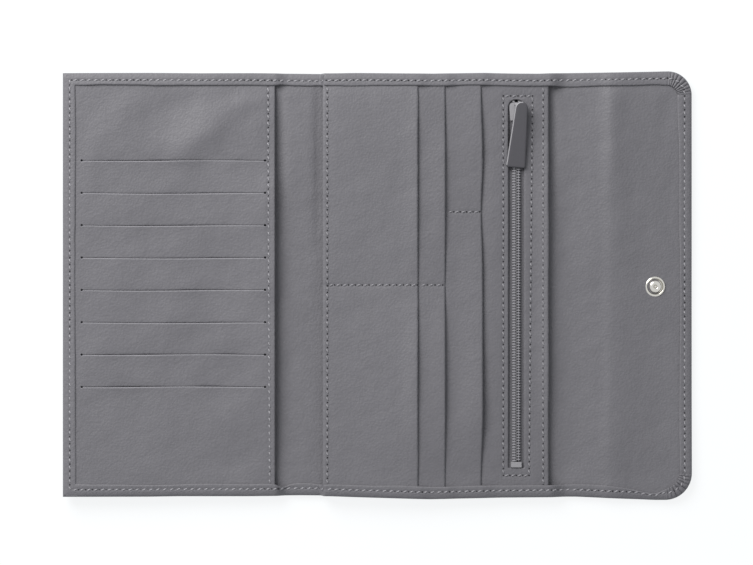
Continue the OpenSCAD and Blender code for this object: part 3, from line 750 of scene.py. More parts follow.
class Strip:
    """A stretch of outer leather from x0 to x1, with its rim turned in over the long edges and, where
    closed, over the free end. Its skin is a flat grid with a wrap of rings around the open sides.
    An edge has a row for each point: x, y, share of the corner's turn, inward x and inward y."""

    ROUND = [(1, 0), (0.5, 0.134), (0.134, 0.5), (0, 1)]

    def __init__(self, x0, x1, closed, dense):
        self.closed = closed
        if closed == "right":
            xs = spaced(x0, RIGHT - CORNER_R_BOTTOM, SKIN_STEP, dense)
            share = (xs - x0) / (xs[-1] - x0)
            self.top = self.cornered(x0 + share * (RIGHT - CORNER_R_TOP - x0), CORNER_R_TOP, top_edge, 1)
            self.bottom = self.cornered(xs, CORNER_R_BOTTOM, bottom_edge, -1)
        else:
            xs = spaced(x0, x1, SKIN_STEP, dense)
            self.top, self.bottom = self.straight(xs, top_edge, -1), self.straight(xs, bottom_edge, 1)
        if closed == "left":
            for edge in (self.top, self.bottom):
                edge[:, 3] = mitre(edge[:, 0] - x0)
        self.share = np.linspace(0, 1, SKIN_ROWS)
        self.index = np.arange(len(self.top) * SKIN_ROWS).reshape(-1, SKIN_ROWS)

    @staticmethod
    def straight(xs, height, inward):
        edge = np.zeros((len(xs), 5))
        edge[:, 0], edge[:, 1], edge[:, 4] = xs, height(xs), inward
        return edge

    @staticmethod
    def cornered(xs, radius, height, side):
        """A straight edge that ends in a round corner. The side is 1 for the top and -1 for the bottom."""
        arc = np.linspace(0, math.pi / 2, 91)[1:]
        inward = np.column_stack([-np.sin(arc), -side * np.cos(arc)])
        middle = np.array([xs[-1], height(xs[-1]) - side * radius])
        corner = np.column_stack([middle - radius * inward, arc / arc[-1], inward])
        return np.concatenate([Strip.straight(xs, height, -side), corner])

    def grid(self, inset, z):
        """The flat skin, drawn in from the open sides."""
        low, high = (edge[:, :2] + inset * edge[:, 3:] for edge in (self.bottom, self.top))
        flat = low[:, None] + (high - low)[:, None] * self.share[None, :, None]
        return np.insert(flat.reshape(-1, 2), 2, z, axis=1)

    def paths(self):
        """The open sides as (grid indices, edge rows), anticlockwise."""
        bottom, top = (self.index[:, 0], self.bottom), (self.index[::-1, -1], self.top[::-1])
        if self.closed is None:
            return [bottom, top]
        column = -1 if self.closed == "right" else 0
        end = self.bottom[column] + (self.top[column] - self.bottom[column]) * self.share[:, None]
        end[:, 2:] = 0
        y = end[:, 1]
        if self.closed == "right":
            end[:, 3] = -1
            runs = [bottom, (self.index[-1, 1:-1], end[1:-1]), top]
        else:
            end[:, 3], end[:, 4] = 1, mitre(y - y[0]) - mitre(y[-1] - y)
            runs = [top, (self.index[0, -2:0:-1], end[-2:0:-1]), bottom]
        return [tuple(np.concatenate(parts) for parts in zip(*runs))]

    def section(self, line):
        """Rings around the edge as (inset, height) for outside and inside, at each point of the line."""
        skive = rim_skive(line)
        high = rim_top(line[:, 0], line[:, 1]) - skive
        below = high - TURN_T + skive
        seam = rim_seam(line)
        turn = line[:, 2]
        fan = np.where((turn > 0) & (turn < 1), np.clip(np.sin(math.pi * turn), 0, 1) ** 0.4, 0)
        pleat = fan * (np.abs(np.sin(math.pi * (PLEATS * turn + 0.25 * np.sin(7 * turn)))) ** 0.6 - 0.7)
        rim = rim_width(line) + 0.5 * pleat
        last = np.maximum(seam + 0.15, np.minimum(4.8, rim - 0.85))
        flat = [(np.minimum(2.2, seam - 0.8), -0.22), (seam - 0.5, -0.14), (seam, -RIM_GROOVE - 0.04)]
        flat += [(np.minimum(seam + 0.5, last - 0.05), -0.1), (last, 0.02)]

        outside = [(a * EDGE_R, b * EDGE_R) for a, b in self.ROUND]
        outside += [(a * EDGE_R, high - 0.45 - b * (EDGE_R - 0.15)) for a, b in self.ROUND[::-1]]
        outside += [(inset, high + rise) for inset, rise in flat]
        outside += [(rim - 0.6, high + 0.06), (rim - 0.24, high + 0.01), (rim, high - 0.24)]
        outside += [(rim + 0.13, below + 0.06)]
        lift = [0, 0, 0, 0.12, 0.35, 0.7] + [1] * (len(outside) - 6)
        outside = [(inset, z + PLEAT_H * pleat * share) for (inset, z), share in zip(outside, lift)]

        wall = [(INNER_R, 0), (1.35, 0.04), (SHELL_T + 0.02, 0.2), (SHELL_T, 0.5)]
        inside = [(inset, SHELL_T + rise) for inset, rise in wall]
        inside += [(inset, below - rise) for inset, rise in wall[::-1]]
        inside += [(inset, below - 0.02) for inset, _ in flat]
        inside += [(rim - gap, below - 0.01) for gap in (0.6, 0.4, 0.25, 0.12)]
        every = np.ones(len(line))
        return [[(inset * every, z * every) for inset, z in rings] for rings in (outside, inside)]

    def build(self, name):
        """The strip's mesh. The last ring outside is the edge's inked cut, darkened also as painted shade for the
        crevice at the rim's inner edge.
        """
        points = [self.grid(EDGE_R, 0.0), self.grid(INNER_R, SHELL_T)]
        count = self.index.size
        total = 2 * count
        faces, kinds = [], []

        def put(new, kind=0):
            faces.append(new)
            kinds.append(np.full(len(new), kind))

        flat = grid_faces(*self.index.shape)
        put(flat[:, ::-1])
        put(flat + count)
        for ids, line in self.paths():
            chain = [(ids, ids + count)]
            sections = list(zip(*self.section(line)))
            for step, pair in enumerate(sections[1:], 2):
                rings = []
                for inset, z in pair:
                    points.append(np.column_stack([line[:, :2] + inset[:, None] * line[:, 3:], z]))
                    rings.append(np.arange(total, total + len(line)))
                    total += len(line)
                put(band(chain[-1][0], rings[0]), kind=int(step == len(sections)))
                put(band(chain[-1][1], rings[1])[:, ::-1])
                chain.append(rings)
            put(band(*chain[-1]))
            for end in (0, -1):
                put(band(*(np.array([rings[side][end] for rings in chain]) for side in (0, 1))))
        for column in {None: (0, -1), "right": (0,), "left": (-1,)}[self.closed]:
            wall = band(self.index[column], self.index[column] + count)
            put(wall if column == 0 else wall[:, ::-1])

        points = np.concatenate(points)
        x, y, z = points.T.copy()
        points[:, 2] += ground(x, y) + 0.05 * BROAD(x, y) * (z > 0.5)
        if self.closed == "left":
            points = tilt_over_fold(points)
        faces, kinds = np.concatenate(faces), np.concatenate(kinds)
        piece = make(name, points, faces, [OUTER, EDGE_INK_AND_SHADE], kinds, sharp=50)
        turn_outwards(piece)
        return piece

    def seams(self, under):
        """The rim's seam along the open sides, on the wallet's inside or under it."""
        lines = []
        for _, line in self.paths():
            place = line[:, :2] + rim_seam(line)[:, None] * line[:, 3:]
            z = UNDER_SEAM if under else rim_top(line[:, 0], line[:, 1]) - rim_skive(line) - RIM_GROOVE
            lines.append(np.column_stack([place, z + ground(place[:, 0], place[:, 1])]))
        return lines


def turn_outwards(piece):
    """Turns every face outwards."""
    mesh = bmesh.new()
    mesh.from_mesh(piece.data)
    bmesh.ops.recalc_face_normals(mesh, faces=mesh.faces)
    mesh.to_mesh(piece.data)
    mesh.free()


# Stitches

STITCH_RINGS = 7
STITCH_SIDES = 8
STITCH_HALF = 1.02
STITCH_WIDE = 0.36
STITCH_HIGH = 0.3
STITCH_RISE = 0.2
STITCH_LEAN = math.radians(22)
HOLE_R = 0.44
HOLE_TOP = 0.06
HOLE_DEEP = 0.3


def stitch_shape():
    """Points of a plump stitch along x and of a dark disc of painted shade for the needle's hole, and the faces of
    both.
    """
    u = np.linspace(-1, 1, STITCH_RINGS)[:, None]
    thick = np.maximum(0.12, (1 - np.abs(u) ** 2.6) ** 0.5)
    side, up = circle(1, STITCH_SIDES).T
    z = STITCH_HIGH * thick * up - 0.2 * u * u + STITCH_RISE
    stitch = np.stack([STITCH_HALF * u + 0 * z, STITCH_WIDE * thick * side, z], axis=-1).reshape(-1, 3)
    rings = [np.insert(circle(HOLE_R, STITCH_SIDES), 2, z, axis=1) for z in (HOLE_TOP, HOLE_TOP - HOLE_DEEP)]

    ring = np.arange(len(stitch)).reshape(STITCH_RINGS, STITCH_SIDES)
    after = np.roll(ring, -1, axis=1)
    faces = np.stack([ring[:-1], ring[1:], after[1:], after[:-1]], axis=-1).reshape(-1, 4).tolist()
    upper = len(stitch) + np.arange(STITCH_SIDES)
    lower = upper + STITCH_SIDES
    faces += [row.tolist() for row in (ring[0], ring[-1, ::-1], upper, lower[::-1])]
    faces += np.stack([lower, np.roll(lower, -1), np.roll(upper, -1), upper], axis=1).tolist()
    return stitch, np.concatenate(rings), faces


STITCH, HOLE, STITCH_FACES = stitch_shape()


def distance_along(line):
    """How far each point is along its line, seen from above."""
    step = np.linalg.norm(np.diff(line[:, :2], axis=0), axis=1)
    return np.concatenate([[0], np.cumsum(step)])


def points_at(line, places):
    """The line's points at these distances along it."""
    run = distance_along(line)
    return np.column_stack([np.interp(places, run, column) for column in line.T])


def sew(name, lines, under=False, yarn=THREAD):
    """Stitches along lines of (x, y, z). Each follows the line, leans across it and ends at a hole, drawn as a dark
    disc of painted shade.
    """
    sign = -1 if under else 1
    flip = np.array([1, 1, sign])
    points = []
    for line in lines:
        length = distance_along(line)[-1]
        count = max(1, int(round(length / STITCH_PITCH)))
        gap = length / count
        places = (np.arange(count) + 0.5) * gap
        before, middle, after = (points_at(line, places + shift * gap)[:, None] for shift in (-0.4, 0, 0.4))
        way = (after - before) / np.linalg.norm(after - before, axis=-1, keepdims=True)
        turn = np.arctan2(way[..., 1], way[..., 0]) + STITCH_LEAN * sign
        c, s = np.cos(turn), np.sin(turn)
        x, y, z = (STITCH * flip).T
        stitches = np.stack([c * x - s * y, s * x + c * y, z + way[..., 2] * x], axis=-1)
        holes = 0.5 * gap * way + HOLE * flip
        points.append((middle + np.concatenate([stitches, holes], axis=1)).reshape(-1, 3))
    points = np.concatenate(points)
    size = len(STITCH) + len(HOLE)
    firsts = range(0, len(points), size)
    unit = [face[::-1] if under else face for face in STITCH_FACES]
    faces = [[first + i for i in face] for first in firsts for face in unit]
    kinds = [int(face[0] >= len(STITCH)) for face in STITCH_FACES] * len(firsts)
    return make(name, points, faces, [yarn, NEEDLE_HOLE_SHADE], kinds, sharp=60)


def seam_line(points, surface, depth=SEAM_DIP, count=120):
    """A stitch line through the points, lying on a surface."""
    points = np.array(points, float)
    x, y = points_at(points, np.linspace(0, distance_along(points)[-1], count)).T
    return np.column_stack([x, y, surface(x, y) - depth])


ENDS = [LEFT, *((fold + after) / 2 for fold, after in zip(FOLD_PLACES, FOLD_PLACES[1:])), RIGHT]
BODIES = ["cover", "spine", "back", "flap_spine", "flap"]

# The leather runs in stretches that cross one fold each: name, closed end and CAD parts
RUNS = [("cover", "left", ["cover"]), ("spine", None, ["spine"]), ("back", None, ["back"])]
RUNS += [("flap", "right", ["flap_spine", "flap"])]
STRETCHES = list(zip(RUNS, ENDS, ENDS[1:], FOLD_PLACES, zip(BODIES, BODIES[1:])))


def cross_fold(piece, fold, bodies):
    """Bends a piece with the fold between two bodies."""
    start, end = (((fold + reach) * MM, 0, FOLD_Z * MM) for reach in (-FOLD_REACH, FOLD_REACH))
    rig.blend(piece, *bodies, start, end)


RIM_DENSE = [COVER_FOLD - 2.5, BACK_EDGE, EDGE_A + 0.8, EDGE_B + 0.8, EDGE_C + 0.8, EDGE_D + 0.8]
for (name, closed, parts), x0, x1, fold, bodies in STRETCHES:
    strip = Strip(x0, x1, closed, [place for place in [fold] + RIM_DENSE if x0 < place < x1])
    shell = mark(strip.build(name + "_outer_leather"), "outer_leather", *(part + "_shell" for part in parts))
    cross_fold(shell, fold, bodies)
    for side in ("inside", "outside"):
        under = side == "outside"
        seam = mark(sew(f"{name}_rim_stitches_{side}", strip.seams(under), under), "outer_leather")
        if closed == "left":
            move(seam, tilt_over_fold)
        cross_fold(seam, fold, bodies)

# Lining

VALLEY = 0.45
LINING_CREST = 0.75


def lining_height(x, y):
    """Top of the lining above its flat place: waves, a valley by the zip panel, swells and a crest."""
    soft = 0.10 * BROAD(x + 40, y) + 0.05 * FINE(x, y)
    soft = soft + 0.12 * smooth((x - FLAP_FOLD + 26) / 20) * FLAP_WAVES(x, y)
    edge = np.minimum(TOP - RIM_W - np.abs(y), RIGHT - RIM_W - x)
    valley = VALLEY * smooth((x - EDGE_D) / 11) * smooth((EDGE_D + 26 - x) / 14) * within_rims(y, 14)
    bare = smooth((x - COVER_FOLD - 1) / 4) * smooth((BACK_EDGE - 2 - x) / 4) + smooth((x - EDGE_D - 2) / 4)
    bare = bare * smooth((RIGHT - RIM_W - x) / 14)
    crest = LINING_CREST * bell(x - FLAP_FOLD - 3.2, 5.0) * smooth((y - 35) / 30) * smooth(edge / 6)
    return soft * smooth(edge / 8) - valley + bare * swell(y, 0.4, 0.35) + crest


for (name, closed, parts), x0, x1, fold, bodies in STRETCHES:
    if closed == "right":
        xs = spaced(x0, RIGHT - CORNER_R_BOTTOM, BEND_STEP, dense=[fold], fine=0.8)
        x, y = round_ended(xs, INNER_Y - 0.3, CORNER_R_BOTTOM - LINING_INSET)
    else:
        start = LEFT + LINING_INSET if closed == "left" else x0
        xs = spaced(start, x1, LINING_STEP, dense=[fold], fine=0.8)
        x, y = across(xs, np.full(len(xs), INNER_Y - 0.2))
    base, soft = FOLD_Z + ground(x, y), lining_height(x, y)
    high, low = base + soft, base - LINING_T + 0.9 * soft
    lining = sheet_solid(name + "_lining_leather", x, y, high, low, [LINING, RAW_EDGE])
    if closed == "left":
        move(lining, tilt_over_fold)
    mark(lining, "lining_leather", *(part + "_lining" for part in parts))
    cross_fold(lining, fold, bodies)

# Boards shaped over the flap's arch, riding the flap and its spine

for node, body in (("flap_spine_stiffener", "flap_spine"), ("flap_board", "flap")):
    (x0, _, _), (x1, half, _) = node_box(node)
    if body == "flap":
        radius = CORNER_R_BOTTOM - SHELL_T - 0.5
        x, y = round_ended(spaced(x0, x1 - radius, BEND_STEP), half, radius)
    else:
        xs = spaced(x0, x1, BEND_STEP)
        x, y = across(xs, np.full(len(xs), half))
    lift = ground(x, y)
    high = FOLD_Z - LINING_T - 0.05 + lift + np.minimum(0.9 * lining_height(x, y), 0)
    low = np.minimum(SHELL_T + 0.12 + lift, high - 0.2)
    board = mark(sheet_solid(node + "_bent", x, y, high, low, [BOARD]), "stiffener", node)
    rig.ride(board, body)

# Note pockets and zip panel


def held(y, *pins):
    """How free an edge is at y: 0 under the rims and at each pinning seam, 1 between."""
    free = within_rims(y, 34, margin=1)
    for pin in pins:
        free = free * (1 - bell(y - pin, 17))
    return free


def frame_right(y):
    """Distance of the window's right-hand stitch line from the zip's middle."""
    return np.interp(y, [FRAME_BOTTOM, FRAME_TOP], [FRAME_RIGHT_BOTTOM, FRAME_RIGHT_TOP])


def frame_gap(x, y):
    """Distance from the frame of stitches around the window."""
    side, right = x - ZIP_X, frame_right(y)
    upright = np.minimum(np.abs(side - FRAME_LEFT), np.abs(side - right))
    beyond = np.maximum(np.maximum(y - FRAME_TOP, FRAME_BOTTOM - y), 0)
    level = np.minimum(np.abs(y - FRAME_TOP), np.abs(y - FRAME_BOTTOM))
    outer = np.maximum(np.maximum(FRAME_LEFT - side, side - right), 0)
    return np.minimum(np.hypot(upright, beyond), np.hypot(level, outer))


def window_places(xs, ys):
    """The panel's columns and rows, with closer ones around the window and its frame."""
    left = [-7.4, -6.9, -6.5, -6.2, -5.9, -5.5, -5, -4.5, -4.1, -WINDOW_HALF]
    right = [WINDOW_HALF, 4.1, 4.5, 5, 5.5, 5.9, 6.2, 6.6, 7, 7.4, 7.8]
    xs = [x for x in xs if abs(x - ZIP_X) > WINDOW_REACH] + [ZIP_X + side for side in left + right]
    arc = WINDOW_TOP - WINDOW_HALF + WINDOW_HALF * np.sin(np.linspace(0, math.pi / 2, 12))
    ys = [y for y in ys if not arc[0] - 1 < y < arc[-1] + 1.2 and abs(y - WINDOW_BOTTOM) > 1.2]
    ys += [*arc, WINDOW_TOP + 0.35, WINDOW_TOP + 0.8]
    ys += [WINDOW_BOTTOM + d for d in (-0.8, -0.35, 0, 0.35, 0.8)]
    ys += [edge + d for edge in (FRAME_TOP, FRAME_BOTTOM) for d in (-0.5, 0, 0.5)]
    ys = sorted(ys)
    return sorted(xs), [y for k, y in enumerate(ys) if k == 0 or y - ys[k - 1] > 0.02]


def cut_window(xs, ys, x, y):
    """Draws the columns in round the window's head. Gives x, the kept faces and the gap to the window."""
    over = y - (WINDOW_TOP - WINDOW_HALF)
    half = np.where(over > 0, np.sqrt(np.clip(WINDOW_HALF**2 - over**2, 0.01, None)), WINDOW_HALF)
    half = np.where(y > WINDOW_TOP + 0.1, WINDOW_HALF, half)
    for sign in (-1, 1):
        column = np.argmin(np.abs(xs - (ZIP_X + sign * WINDOW_HALF)))
        x[column] = ZIP_X + sign * half[column]
    side = x - ZIP_X
    pulled = (np.abs(side) > WINDOW_HALF + 0.1) & (np.abs(side) < WINDOW_REACH)
    squeeze = np.where(pulled, (WINDOW_REACH - np.abs(side)) / (WINDOW_REACH - WINDOW_HALF), 0)
    x = x - np.sign(side) * squeeze * (WINDOW_HALF - half) * 0.97
    keep = np.ones((len(xs) - 1, len(ys) - 1), bool)
    opened = (ys[:-1] > WINDOW_BOTTOM - 0.01) & (ys[1:] < WINDOW_TOP + 0.01)
    keep[np.argmin(np.abs(xs - (ZIP_X - WINDOW_HALF))), opened] = False
    side = np.abs(x - ZIP_X)
    beside = side - WINDOW_HALF
    above = np.hypot(side, np.maximum(over, 0)) - WINDOW_HALF
    below = np.hypot(np.maximum(beside, 0), WINDOW_BOTTOM - y)
    gap = np.where(y < WINDOW_BOTTOM, below, np.where(over > 0, above, beside))
    return x, keep, np.clip(gap, 0, None)


def pocket(name, node, x1, top_z, lift, pins=(), bow=0.0, reach=9.0, window=False, seed=0,
           fall=lambda x, y: 0, skin=POCKET_PAINTED_SHADE, puff=0.0):
    """A leather panel from the back's fold to its open edge, which stands up a little between its seams."""
    ragged = waves(seed, 60)

    def surface(x, y):
        """Height of the panel's top, without its seams and edges."""
        wide = 1.25 - 0.4 * smooth((y + 20) / 50)
        edge = smooth((x - x1 + reach) / reach) * (1 + 0.18 * ragged(0 * y, y))
        stack = 1.3 * hill(x, EDGE_A, 42) * smooth((20 - y) / 50) * within_rims(y, 30)
        soft = 0.07 * BROAD(x, y) + 0.05 * FINE(x + 30, y) + 0.04 * ragged(x, y)
        rise = lift * wide * held(y, *pins) * edge + stack + fall(x, y) + puff * swell(y, 0.5, 0.9)
        return top_z + rise + soft * within_rims(y, 6)

    xs = spaced(BACK_EDGE, x1, 2.2, dense=[x1, BACK_EDGE], reach=2.4, fine=0.5)
    ys = spaced(-INNER_Y, INNER_Y, 1.9, dense=pins, reach=2.0, fine=0.6)
    if window:
        xs, ys = map(np.array, window_places(xs, ys))
    x, y = np.meshgrid(xs, ys, indexing="ij")
    shift = bow * held(y, *pins) * smooth((x - x1 + reach) / reach)
    keep = None
    if window:
        x, keep, window_gap = cut_window(xs, ys, x, y)

    dip = SEAM_DIP * bell(x - BACK_EDGE - BACK_SEAM, 0.8)
    dip = dip + 0.35 * smooth(1 - (x - BACK_EDGE) / 1.4) * within_rims(y, 3)
    if window:
        dip = dip + SEAM_DIP * (bell(x - x1 + HEM, 0.7) + bell(frame_gap(x, y), 0.7))
        dip = dip + edge_round(window_gap, 0.45)
    pinned = sum((PIN_DIP - 0.1) * bell(y - pin, 0.9) + 0.1 * bell(y - pin, 5) for pin in pins)
    level = surface(x, y)
    high = level - pinned - dip - edge_round(x1 - x, 0.35)
    low = np.minimum(level - PANEL_T - 0.6 * dip + edge_round(x1 - x, 0.3), high - 0.12)
    piece = sheet_solid(name, x + shift, y, high, low, [skin, RAW_EDGE], keep, sharp=55)
    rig.ride(mark(piece, "pocket_leather", node), "back")
    return surface


AB_SEAM = 0.24
C_SEAM = 35.3


def bag_fall(x, y):
    """The zip panel swells over the bag's middle, falls towards its hem, and its mouth stands up."""
    crown = 0.55 * smooth((x - EDGE_C + 1) / 7) - 0.75 * smooth((x - EDGE_C - 6) / (EDGE_D - EDGE_C - 6))
    mouth = 1.6 * smooth((x - EDGE_D + 7) / 7) * smooth((92 - np.abs(y)) / 60)
    return within_rims(y, 30) * crown + mouth


# The zip panel and pockets B and C take the darker copy as painted shade; pocket A keeps the plain leather.
surface_d = pocket(
    "zip_panel_leather", "zip_panel", EDGE_D, TOP_D, 0.0,
    bow=-0.1, window=True, seed=21, fall=bag_fall, puff=0.25)
surface_c = pocket(
    "note_pocket_c", "pocket_c", EDGE_C, TOP_C, 1.5,
    pins=(C_SEAM,), reach=14.0, bow=0.7, seed=22, puff=0.7)
surface_b = pocket(
    "note_pocket_b", "pocket_b", EDGE_B, TOP_B, 1.1,
    pins=(AB_SEAM,), reach=10.0, bow=0.1, seed=23, puff=0.75)
surface_a = pocket(
    "note_pocket_a", "pocket_a", EDGE_A, TOP_A, 0.9,
    pins=(AB_SEAM,), bow=-0.1, seed=24, skin=POCKET, puff=1.0)

SEAM_END = TOP - RIM_W - 0.4
frame_corners = [
    (ZIP_X + FRAME_LEFT, FRAME_BOTTOM),
    (ZIP_X + FRAME_LEFT, FRAME_TOP),
    (ZIP_X + FRAME_RIGHT_TOP, FRAME_TOP),
    (ZIP_X + FRAME_RIGHT_BOTTOM, FRAME_BOTTOM),
]
back_seams = [
    seam_line([(BACK_EDGE + BACK_SEAM, -SEAM_END), (BACK_EDGE + BACK_SEAM, SEAM_END)], surface_a),
    seam_line([(BACK_EDGE + 2.4, AB_SEAM), (EDGE_A - 0.4, AB_SEAM)], surface_a, PIN_DIP),
    seam_line([(EDGE_A + 0.8, AB_SEAM), (EDGE_B - 1.2, AB_SEAM)], surface_b, PIN_DIP),
    seam_line([(EDGE_B + 1.0, C_SEAM), (EDGE_C - 0.8, C_SEAM)], surface_c, PIN_DIP),
    seam_line([(EDGE_D - HEM, SEAM_END), (EDGE_D - HEM, -SEAM_END)], surface_d),
]
for corners in zip(frame_corners, frame_corners[1:] + frame_corners[:1]):
    back_seams.append(seam_line(corners, surface_d))
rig.ride(mark(sew("pocket_stitches", back_seams, yarn=PANEL_THREAD), "pocket_leather"), "back")

# Card panel

SLIT_RIGHT = CARD_EDGE - SLIT_INSET
SLIT_LEFT = SLIT_RIGHT - SLIT_W
SLITS = [TOP - FIRST_SLIT - i * SLIT_PITCH for i in range(SLIT_COUNT)]
SLIT_OPEN = [1.0, 0.75, 0.85, 0.7, 0.85, 0.7, 1.05, 1.15]
SLIT_COLUMNS = (-1.0, -0.55, -0.5, -0.4, -0.25, -0.1, 0.1, 0.25, 0.4, 0.5, 0.56, 0.8, 1.2)
SLIT_ROWS = (-6, -4, -2.6, -1.6, -1, -SLIT_EDGE, -SLIT_CUT / 2, SLIT_CUT / 2, SLIT_EDGE, 1, 1.6, 2.6, 4, 6)

# The card panel's creases: height, start, end and width
CARD_CREASES = [
    (1.4, (-92, 66), (-60, 92), 7.5),
    (-0.5, (-112, 78), (-74, 100), 8),
    (0.6, (-142, 62), (-118, 90), 10),
    (0.3, (-78, 70), (-55, 78), 6),
    (0.22, (-134, 34), (-96, 46), 6),
    (-0.2, (-130, 18), (-100, 28), 5),
    (0.18, (-132, -8), (-104, 2), 5),
    (0.2, (-110, -70), (-80, -60), 9),
]


def card_rise(x, y):
    """Soft shape of the card panel above its flat place, without its slits."""
    inner = np.minimum(TOP - RIM_W - np.abs(y), x - LEFT - RIM_W)
    shape = 0.16 * CARD_WAVES(x, y) + 0.05 * FINE(x + 90, y + 20)
    for height, start, end, width in CARD_CREASES:
        shape = shape + height * ridge(x, y, start, end, width)
    lifted = 1.9 * smooth((x - CARD_EDGE + 34) / 34) * within_rims(y + 12, 60, margin=2)
    puff = smooth((x + 112) / 34) * swell(y, 0.45, 0.45)
    return shape * smooth(inner / 10) + lifted * within_rims(y, 20) - corner_sag(x, y) + puff


def card_surface(x, y):
    return CARD_TOP + card_rise(x, y)


def card_seam_x(y):
    return CARD_EDGE - 2.9 - 0.45 * y / TOP


def card_places():
    """Columns and rows of the card panel, closer at its edge and around the slits."""
    xs = spaced(LEFT + LINING_INSET, CARD_EDGE, 1.5, dense=[CARD_EDGE], reach=2.0, fine=0.35)
    ends = [end + d for end in (SLIT_LEFT, SLIT_RIGHT) for d in SLIT_COLUMNS]
    ys = [-INNER_Y, INNER_Y]
    ys += [*np.arange(SLITS[0] + 8, INNER_Y - 1, 1.9), *np.arange(-INNER_Y + 1.9, SLITS[-1] - 7, 1.9)]
    for y0 in SLITS:
        ys += [y0 + d for d in SLIT_ROWS] + [y0 - SLIT_PITCH / 2]
    return np.unique(np.round([*xs, *ends], 4)), np.array(sorted(ys))


def cut_slits(xs, ys, x, y):
    """Opens the slits by moving rows of y. Gives the lips' height, the kept faces and the cut faces."""
    keep = np.ones((len(xs) - 1, len(ys) - 1), bool)
    cut_face = np.zeros(keep.shape, bool)
    lip = np.zeros(x.shape)
    u = (x - SLIT_LEFT) / SLIT_W
    arch = np.where((u > 0) & (u < 1), np.sin(math.pi * np.clip(u, 0, 1)) ** 0.4, 0)
    middle = (xs[:-1] + xs[1:]) / 2
    cut = (middle > SLIT_LEFT - SLIT_HOLE_R) & (middle < SLIT_RIGHT + SLIT_HOLE_R)
    for y0, opening in zip(SLITS, SLIT_OPEN):
        mouth = arch * (0.85 + 0.3 * FINE(0.5 * x + 50 * opening, 0 * y))
        lip += np.where(y < y0, 0.42 * opening * mouth * np.exp((y - y0) / 3.2), 0)
        lip -= np.where(y > y0, 0.34 * opening * mouth * np.exp((y0 - y) / 3.0), 0)
        half = np.full(len(xs), SLIT_CUT / 2)
        for end in (SLIT_LEFT, SLIT_RIGHT):
            half = np.maximum(half, np.sqrt(np.clip(SLIT_HOLE_R**2 - (xs - end) ** 2, 0, None)))
        half = half + 0.05 * opening * mouth[:, 0]
        sag = 0.35 * np.sin(math.pi * np.clip(u[:, 0], 0, 1)) * np.sin(3.1 * u[:, 0] + 5 * opening)
        row = np.argmin(np.abs(ys - (y0 - SLIT_CUT / 2)))
        y[:, row], y[:, row + 1] = y0 - half, y0 + half
        y[:, row - 1] = np.minimum(y[:, row - 1], y0 - half - 0.3)
        y[:, row + 2] = np.maximum(y[:, row + 2], y0 + half + 0.2)
        for near, weight in zip(range(row - 2, row + 4), (0.5, 1, 1, 1, 1, 0.5)):
            y[:, near] += weight * sag
        lip[:, row] -= 0.22 * mouth[:, 0]
        lip[:, row + 1] -= 0.12 * mouth[:, 0]
        keep[cut, row] = False
        cut_face[cut, row - 1] = True
    return lip, keep, cut_face[keep]


xs, ys = card_places()
x, y = np.meshgrid(xs, ys, indexing="ij")
lip, keep, cut_face = cut_slits(xs, ys, x, y)
base = card_surface(x, y) + lip
hem_dip = SEAM_DIP * bell(card_seam_x(y) - x, 0.8)
high = base - hem_dip - edge_round(CARD_EDGE - x, 0.5)
low = base - PANEL_T - 0.5 * hem_dip + edge_round(CARD_EDGE - x, 0.25)
card = sheet_solid("card_panel_leather", x, y, high, low, [POCKET, RAW_EDGE], keep, sharp=55, raw=cut_face)
mark(card, "pocket_leather", "card_face")
seam_ends = [(card_seam_x(y), y) for y in (-SEAM_END, SEAM_END)]
card_stitches = mark(sew("card_panel_stitches", [seam_line(seam_ends, card_surface)]), "pocket_leather")
for piece in (card, card_stitches):
    move(piece, tilt)
    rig.ride(piece, "cover")

# Thin sheet behind each slit

SHEET_T = 0.2
for i in range(SLIT_COUNT):
    node = f"card_pocket_{i + 1}"
    low_corner, high_corner = untilted_box(node)
    wide, tall, climb = high_corner - low_corner - (0, 0, SHEET_T)
    x, y = box_grid(low_corner, high_corner, 25, 19)
    z = low_corner[2] + SHEET_T + climb * (y - low_corner[1]) / tall
    sheet = sheet_solid(f"card_sheet_{i + 1}", x, y, z, z - SHEET_T, [CARD_CLOTH])
    move(sheet, tilt)
    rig.ride(mark(sheet, "pocket_fabric", node), "cover")
    flat = (wide * MM, math.hypot(tall, climb) * MM)
    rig.sheet(sheet, flat=flat, held="laid", rests_on=[f"card_sheet_{i}" if i else "card_backing"])

# Zip tapes and bag

for side in ("left", "right"):
    low_corner, high_corner = node_box(f"zip_tape_{side}")
    inner = high_corner[0] if side == "left" else low_corner[0]
    x, y = box_grid(low_corner, high_corner, 41, 140)
    ribs = 0.03 * np.sin(x * 2 * math.pi / 0.9) - 0.08 * hill(x, inner, 0.6)
    sag = -0.12 * hill(np.abs(x - ZIP_X), 3.0, 1.4)
    high, low = high_corner[2] - 0.06 + ribs + sag, low_corner[2] + sag
    tape = sheet_solid(f"zip_tape_cloth_{side}", x, y, high, low, [TAPE_CLOTH])
    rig.ride(mark(tape, "zip_tape", f"zip_tape_{side}"), "back")
    wide, tall, _ = (high_corner - low_corner) * MM
    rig.sheet(tape, flat=(wide, tall), held="stretched", rests_on=["zip_panel_leather"])

for wall, under in (("back", "back_lining_leather"), ("front", "bag_back_cloth")):
    low_corner, high_corner = node_box(f"bag_{wall}")
    x, y = box_grid(low_corner, high_corner, 60, 90)
    edge_x = np.minimum(x - low_corner[0], high_corner[0] - x)
    edge_y = np.minimum(y - low_corner[1], high_corner[1] - y)
    soft = 0.05 * BROAD(x + 70, y) * smooth(np.minimum(edge_x, edge_y) / 6)
    bag = sheet_solid(f"bag_{wall}_cloth", x, y, high_corner[2] + soft, low_corner[2] + soft, [BAG_CLOTH])
    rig.ride(mark(bag, "pocket_fabric", f"bag_{wall}"), "back")
    wide, tall, _ = (high_corner - low_corner) * MM
    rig.sheet(bag, flat=(wide, tall), held="laid", rests_on=[under])

# Clasp


